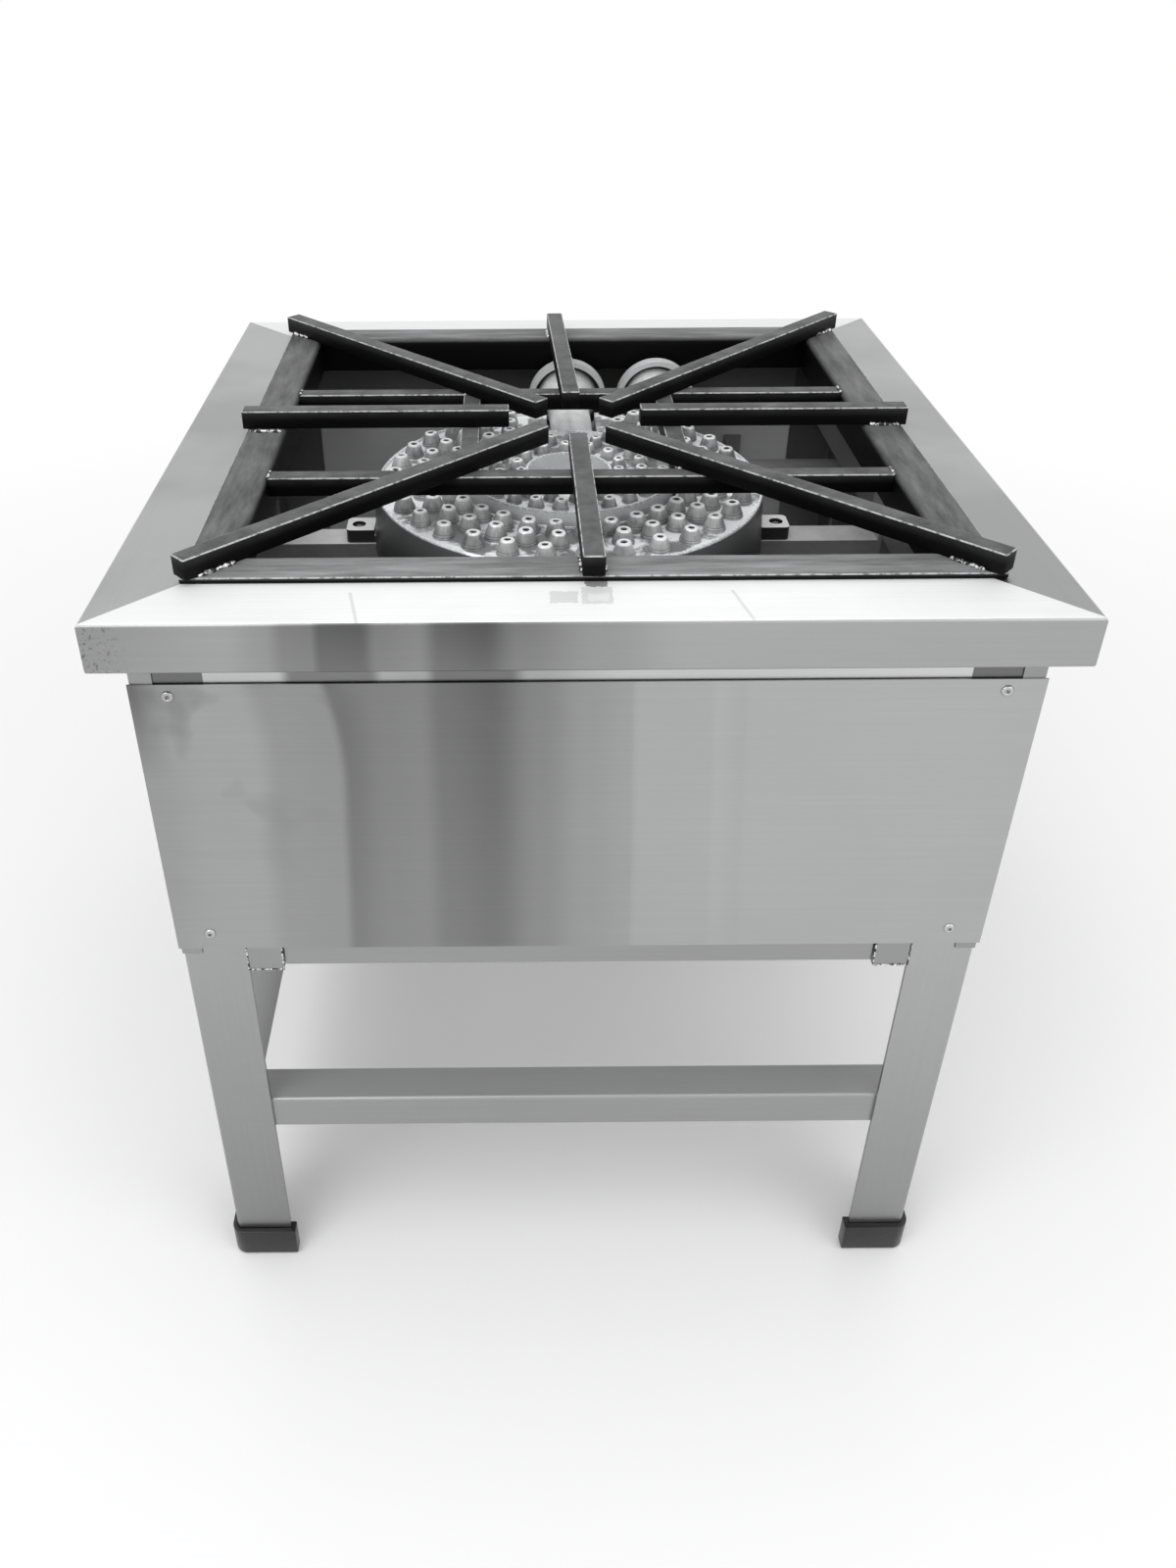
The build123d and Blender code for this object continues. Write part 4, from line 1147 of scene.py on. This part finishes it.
# welds of the grate: each bar's end on the frame, then the cross bars' joints
grateWelds = {
    "centre": (4.0, -3.5),
    "barSide": 7.2,
    "height": 630.7,
    "bars": (  # direction, first and last distance from the centre, which sides
        ((-250.5, -243.0), 318.0, 343.0, (-1, 1)),
        ((250.5, -243.0), 320.0, 340.0, (-1, 1)),
        ((-250.5, 258.0), 334.0, 352.0, (1,)),
        ((250.5, 258.0), 332.0, 354.0, (-1, 1)),
        ((0.0, -1.0), 222.0, 240.0, (-1, 1)),
        ((-0.028, 1.0), 234.0, 252.0, (-1, 1)),
    ),
    "sideBars": ((-224.0, -246.0, 1.0), (234.0, 254.0, 7.0)),
    "joints": ((-219.5, -90.0), (-219.5, 83.0), (227.5, -90.0), (227.5, 83.0)),
    "linkJoints": ((-77.0, -83.3), (80.0, -83.3), (-77.0, 76.3), (80.0, 76.3)),
    "jointHeight": 630.1,
    "jointHalf": 6.0,
    "drop": 1.5,
    "speck": 0.9,
}


def makeGrateWelds():
    look = grateWelds
    middle, lift = Vector(look["centre"]), look["height"]
    thick, thin = [], []
    for way, start, end, sides in look["bars"]:
        along = Vector(way).normalized()
        across = Vector((-along.y, along.x)) * look["barSide"]
        for side in sides:
            thick.append([(*(middle + along * reach + across * side), lift) for reach in (start, end)])
    for start, end, y in look["sideBars"]:
        for side in (-1, 1):
            thick.append([(x, y + side * look["barSide"], lift) for x in (start, end)])
    height, half = look["jointHeight"], look["jointHalf"]
    for x, y in look["joints"]:
        thin.append([(x, y - half, height), (x, y + half, height)])
    for x, y in look["linkJoints"]:
        thin.append([(x - half, y, height), (x + half, y, height)])
    heavy = beadAlong("barWelds", thick, look["drop"], weldSteel)
    settle(heavy, "grate", "black_paint")
    fine = beadAlong("jointWelds", thin, look["speck"], weldSteel, seed=9)
    settle(fine, "grate", "black_paint")
    return len(thick) + len(thin)


# tacks round the closed ends of the tray runners and under the front stretcher
standWelds = {
    "runner": ((236.0, 211.0), (332.0, 352.0), -281.2),
    "below": 0.6,
    "stretcher": ((-272.0, -262.0), (262.0, 272.0), -279.0, 157.6),
    "drop": 0.55,
}


def makeStandWelds():
    look = standWelds
    sides, (low, high), y = look["runner"]
    paths = []
    for hand in (-1, 1):
        paths += [[(hand * x, y, low), (hand * x, y, high)] for x in sides]
        paths.append([(hand * x, y, low - look["below"]) for x in sides])
    first, second, y, z = look["stretcher"]
    paths += [[(x, y, z) for x in ends] for ends in (first, second)]
    tacks = beadAlong("standWelds", paths, look["drop"], weldSteel, spacing=1.3, uneven=0.4, seed=5)
    settle(tacks, "stand", "stainless_frame")
    return len(paths)


print("weld runs:", makeGrateWelds() + makeStandWelds())

# control side: pointer on each knob, printed marks round it, thread on the gas inlet
controlLook = {
    "knobs": {"inner": 8.0, "outer": 90.0},
    "height": 500.0,
    "knobFace": 299.5,
    "panelFace": 283.0,
    "pointer": (5.0, 18.0, 1.0),  # from, to and half width
    "pointerDepth": 0.2,
    "marks": (25.0, 29.5, 0.7),
    "markDepth": 0.12,
    "markTurns": (0, 15, 30, 45, 60, 75, 90),
    "threadFrom": 284.5,
    "threadTo": 295.5,
    "threadPitch": 1.8,
    "threadY": 222.0,
    "ridge": ((10.3, -0.6), (10.95, 0.0), (10.3, 0.6), (10.0, 0.0), (10.3, -0.6)),
    "ridgeSides": 32,
}


def stripMesh(name, strips, front, depth):  # thin printed strips on a face that looks along +Y, in mm
    work = bmesh.new()
    for x, z, turn, start, end, half in strips:
        way = Vector((math.sin(turn), math.cos(turn)))
        side = Vector((way.y, -way.x)) * half
        corners = [way * start - side, way * start + side, way * end + side, way * end - side]
        rings = []
        for y in (front - depth, front + depth):
            spots = [((x + corner.x) / 1000, y / 1000, (z + corner.y) / 1000) for corner in corners]
            rings.append([work.verts.new(spot) for spot in spots])
        work.faces.new(rings[0])
        work.faces.new(rings[1])
        for index in range(4):
            after = (index + 1) % 4
            work.faces.new([rings[0][index], rings[0][after], rings[1][after], rings[1][index]])
    bmesh.ops.recalc_face_normals(work, faces=work.faces)
    mesh = bpy.data.meshes.new(name)
    work.to_mesh(mesh)
    work.free()
    mesh.materials.append(printedWhite)
    return mesh


def makeControls():
    look = controlLook
    height = look["height"]
    marks = []
    for name, x in look["knobs"].items():
        strips = [(x, height, 0.0, *look["pointer"])]
        mesh = stripMesh(name + "Pointer", strips, look["knobFace"], look["pointerDepth"])
        settle(newPiece(name + "Pointer", mesh), name + "_knob", "knob_plastic")
        marks += [(x, height, -math.radians(turn), *look["marks"]) for turn in look["markTurns"]]
    mesh = stripMesh("dialMarks", marks, look["panelFace"], look["markDepth"])
    settle(newPiece("dialMarks", mesh), "stand", "stainless_body")
    start, pitch = look["threadFrom"], look["threadPitch"]
    count = int((look["threadTo"] - start) / pitch) + 1
    spots = [(start + step * pitch, look["threadY"], height) for step in range(count)]
    ridge = latheMesh("ridge", look["ridge"], look["ridgeSides"])
    ridges = scatterOn("inletThread", spots, [(1, 0, 0)] * count, ridge, pipePaint)
    settle(ridges, "stand", "gas_pipe")


makeControls()
print("controls dressed")

studio = {
    "floorTone": 0.95,
    "floorRough": 0.9,
    "floorHalf": 6.0,
    "floorFades": (0.55, 1.8),
    "worldLight": 0.72,
    "lamps": (
        ("keyLamp", (-1.4, -1.9, 2.6), (0.0, 0.0, 0.4), 2.2, 27.0),
        ("fillLamp", (1.9, -1.7, 2.0), (0.0, 0.0, 0.4), 2.4, 14.0),
        ("topLamp", (-0.1, -0.2, 2.4), (0.0, 0.0, 0.5), 1.6, 9.0),
    ),
}


def makeFloor():  # pale floor that keeps the shadow near the feet and turns plain white far off
    half = studio["floorHalf"]
    mesh = bpy.data.meshes.new("floor")
    corners = [(-half, -half, 0), (half, -half, 0), (half, half, 0), (-half, half, 0)]
    mesh.from_pydata(corners, [], [(0, 1, 2, 3)])
    floor = newPiece("floor", mesh)
    tone = studio["floorTone"]
    paint = Paint("floorPaint", Base_Color=(tone, tone, tone, 1.0), Roughness=studio["floorRough"])
    far = paint.out().span(*studio["floorFades"])
    output = paint.tree.nodes["Material Output"].inputs[0]
    paint.whiten(far * paint.lookedAt(), paint.shader.outputs[0], output)
    floor.data.materials.append(paint.material)


class Backdrop(Net):  # plain white wherever the camera, metal or glass sees past the object
    def __init__(self, tree):
        self.tree = tree


def makeWorld():
    world = bpy.data.worlds.new("studioWorld")
    bpy.context.scene.world = world
    world.use_nodes = True
    tree = world.node_tree
    sky = tree.nodes["Background"]
    sky.inputs["Color"].default_value = (1.0, 1.0, 1.0, 1.0)
    sky.inputs["Strength"].default_value = studio["worldLight"]
    backdrop = Backdrop(tree)
    backdrop.whiten(backdrop.lookedAt(), sky.outputs[0], tree.nodes["World Output"].inputs[0])


def makeLamps():
    for name, spot, aim, size, power in studio["lamps"]:
        data = bpy.data.lights.new(name, "AREA")
        data.shape = "DISK"
        data.size = size
        data.energy = power
        lamp = bpy.data.objects.new(name, data)
        lamp.location = spot
        lamp.rotation_euler = (Vector(aim) - Vector(spot)).to_track_quat("-Z", "Y").to_euler()
        bpy.context.scene.collection.objects.link(lamp)


camera = {
    "spot": (-0.04808, -0.9395, 0.98744),
    "right": (0.99997, -0.00527, -0.00515),
    "up": (0.00718, 0.54093, 0.84104),
    "back": (-0.00164, -0.84105, 0.54095),
    "sensor": 36.0,
    "lens": 29.07,
    "shift": (0.0487, -0.0569),
    "nearest": 0.05,
}


def makeCamera():
    data = bpy.data.cameras.new("camera")
    data.sensor_width = camera["sensor"]
    data.lens = camera["lens"]
    data.shift_x, data.shift_y = camera["shift"]
    data.clip_start = camera["nearest"]
    view = bpy.data.objects.new("camera", data)
    turn = Matrix([camera["right"], camera["up"], camera["back"]]).transposed()
    view.matrix_world = Matrix.Translation(camera["spot"]) @ turn.to_4x4()
    bpy.context.scene.collection.objects.link(view)
    bpy.context.scene.camera = view


makeFloor()
makeWorld()
makeLamps()
makeCamera()
bpy.context.scene.view_settings.view_transform = "Standard"
print("studio set")
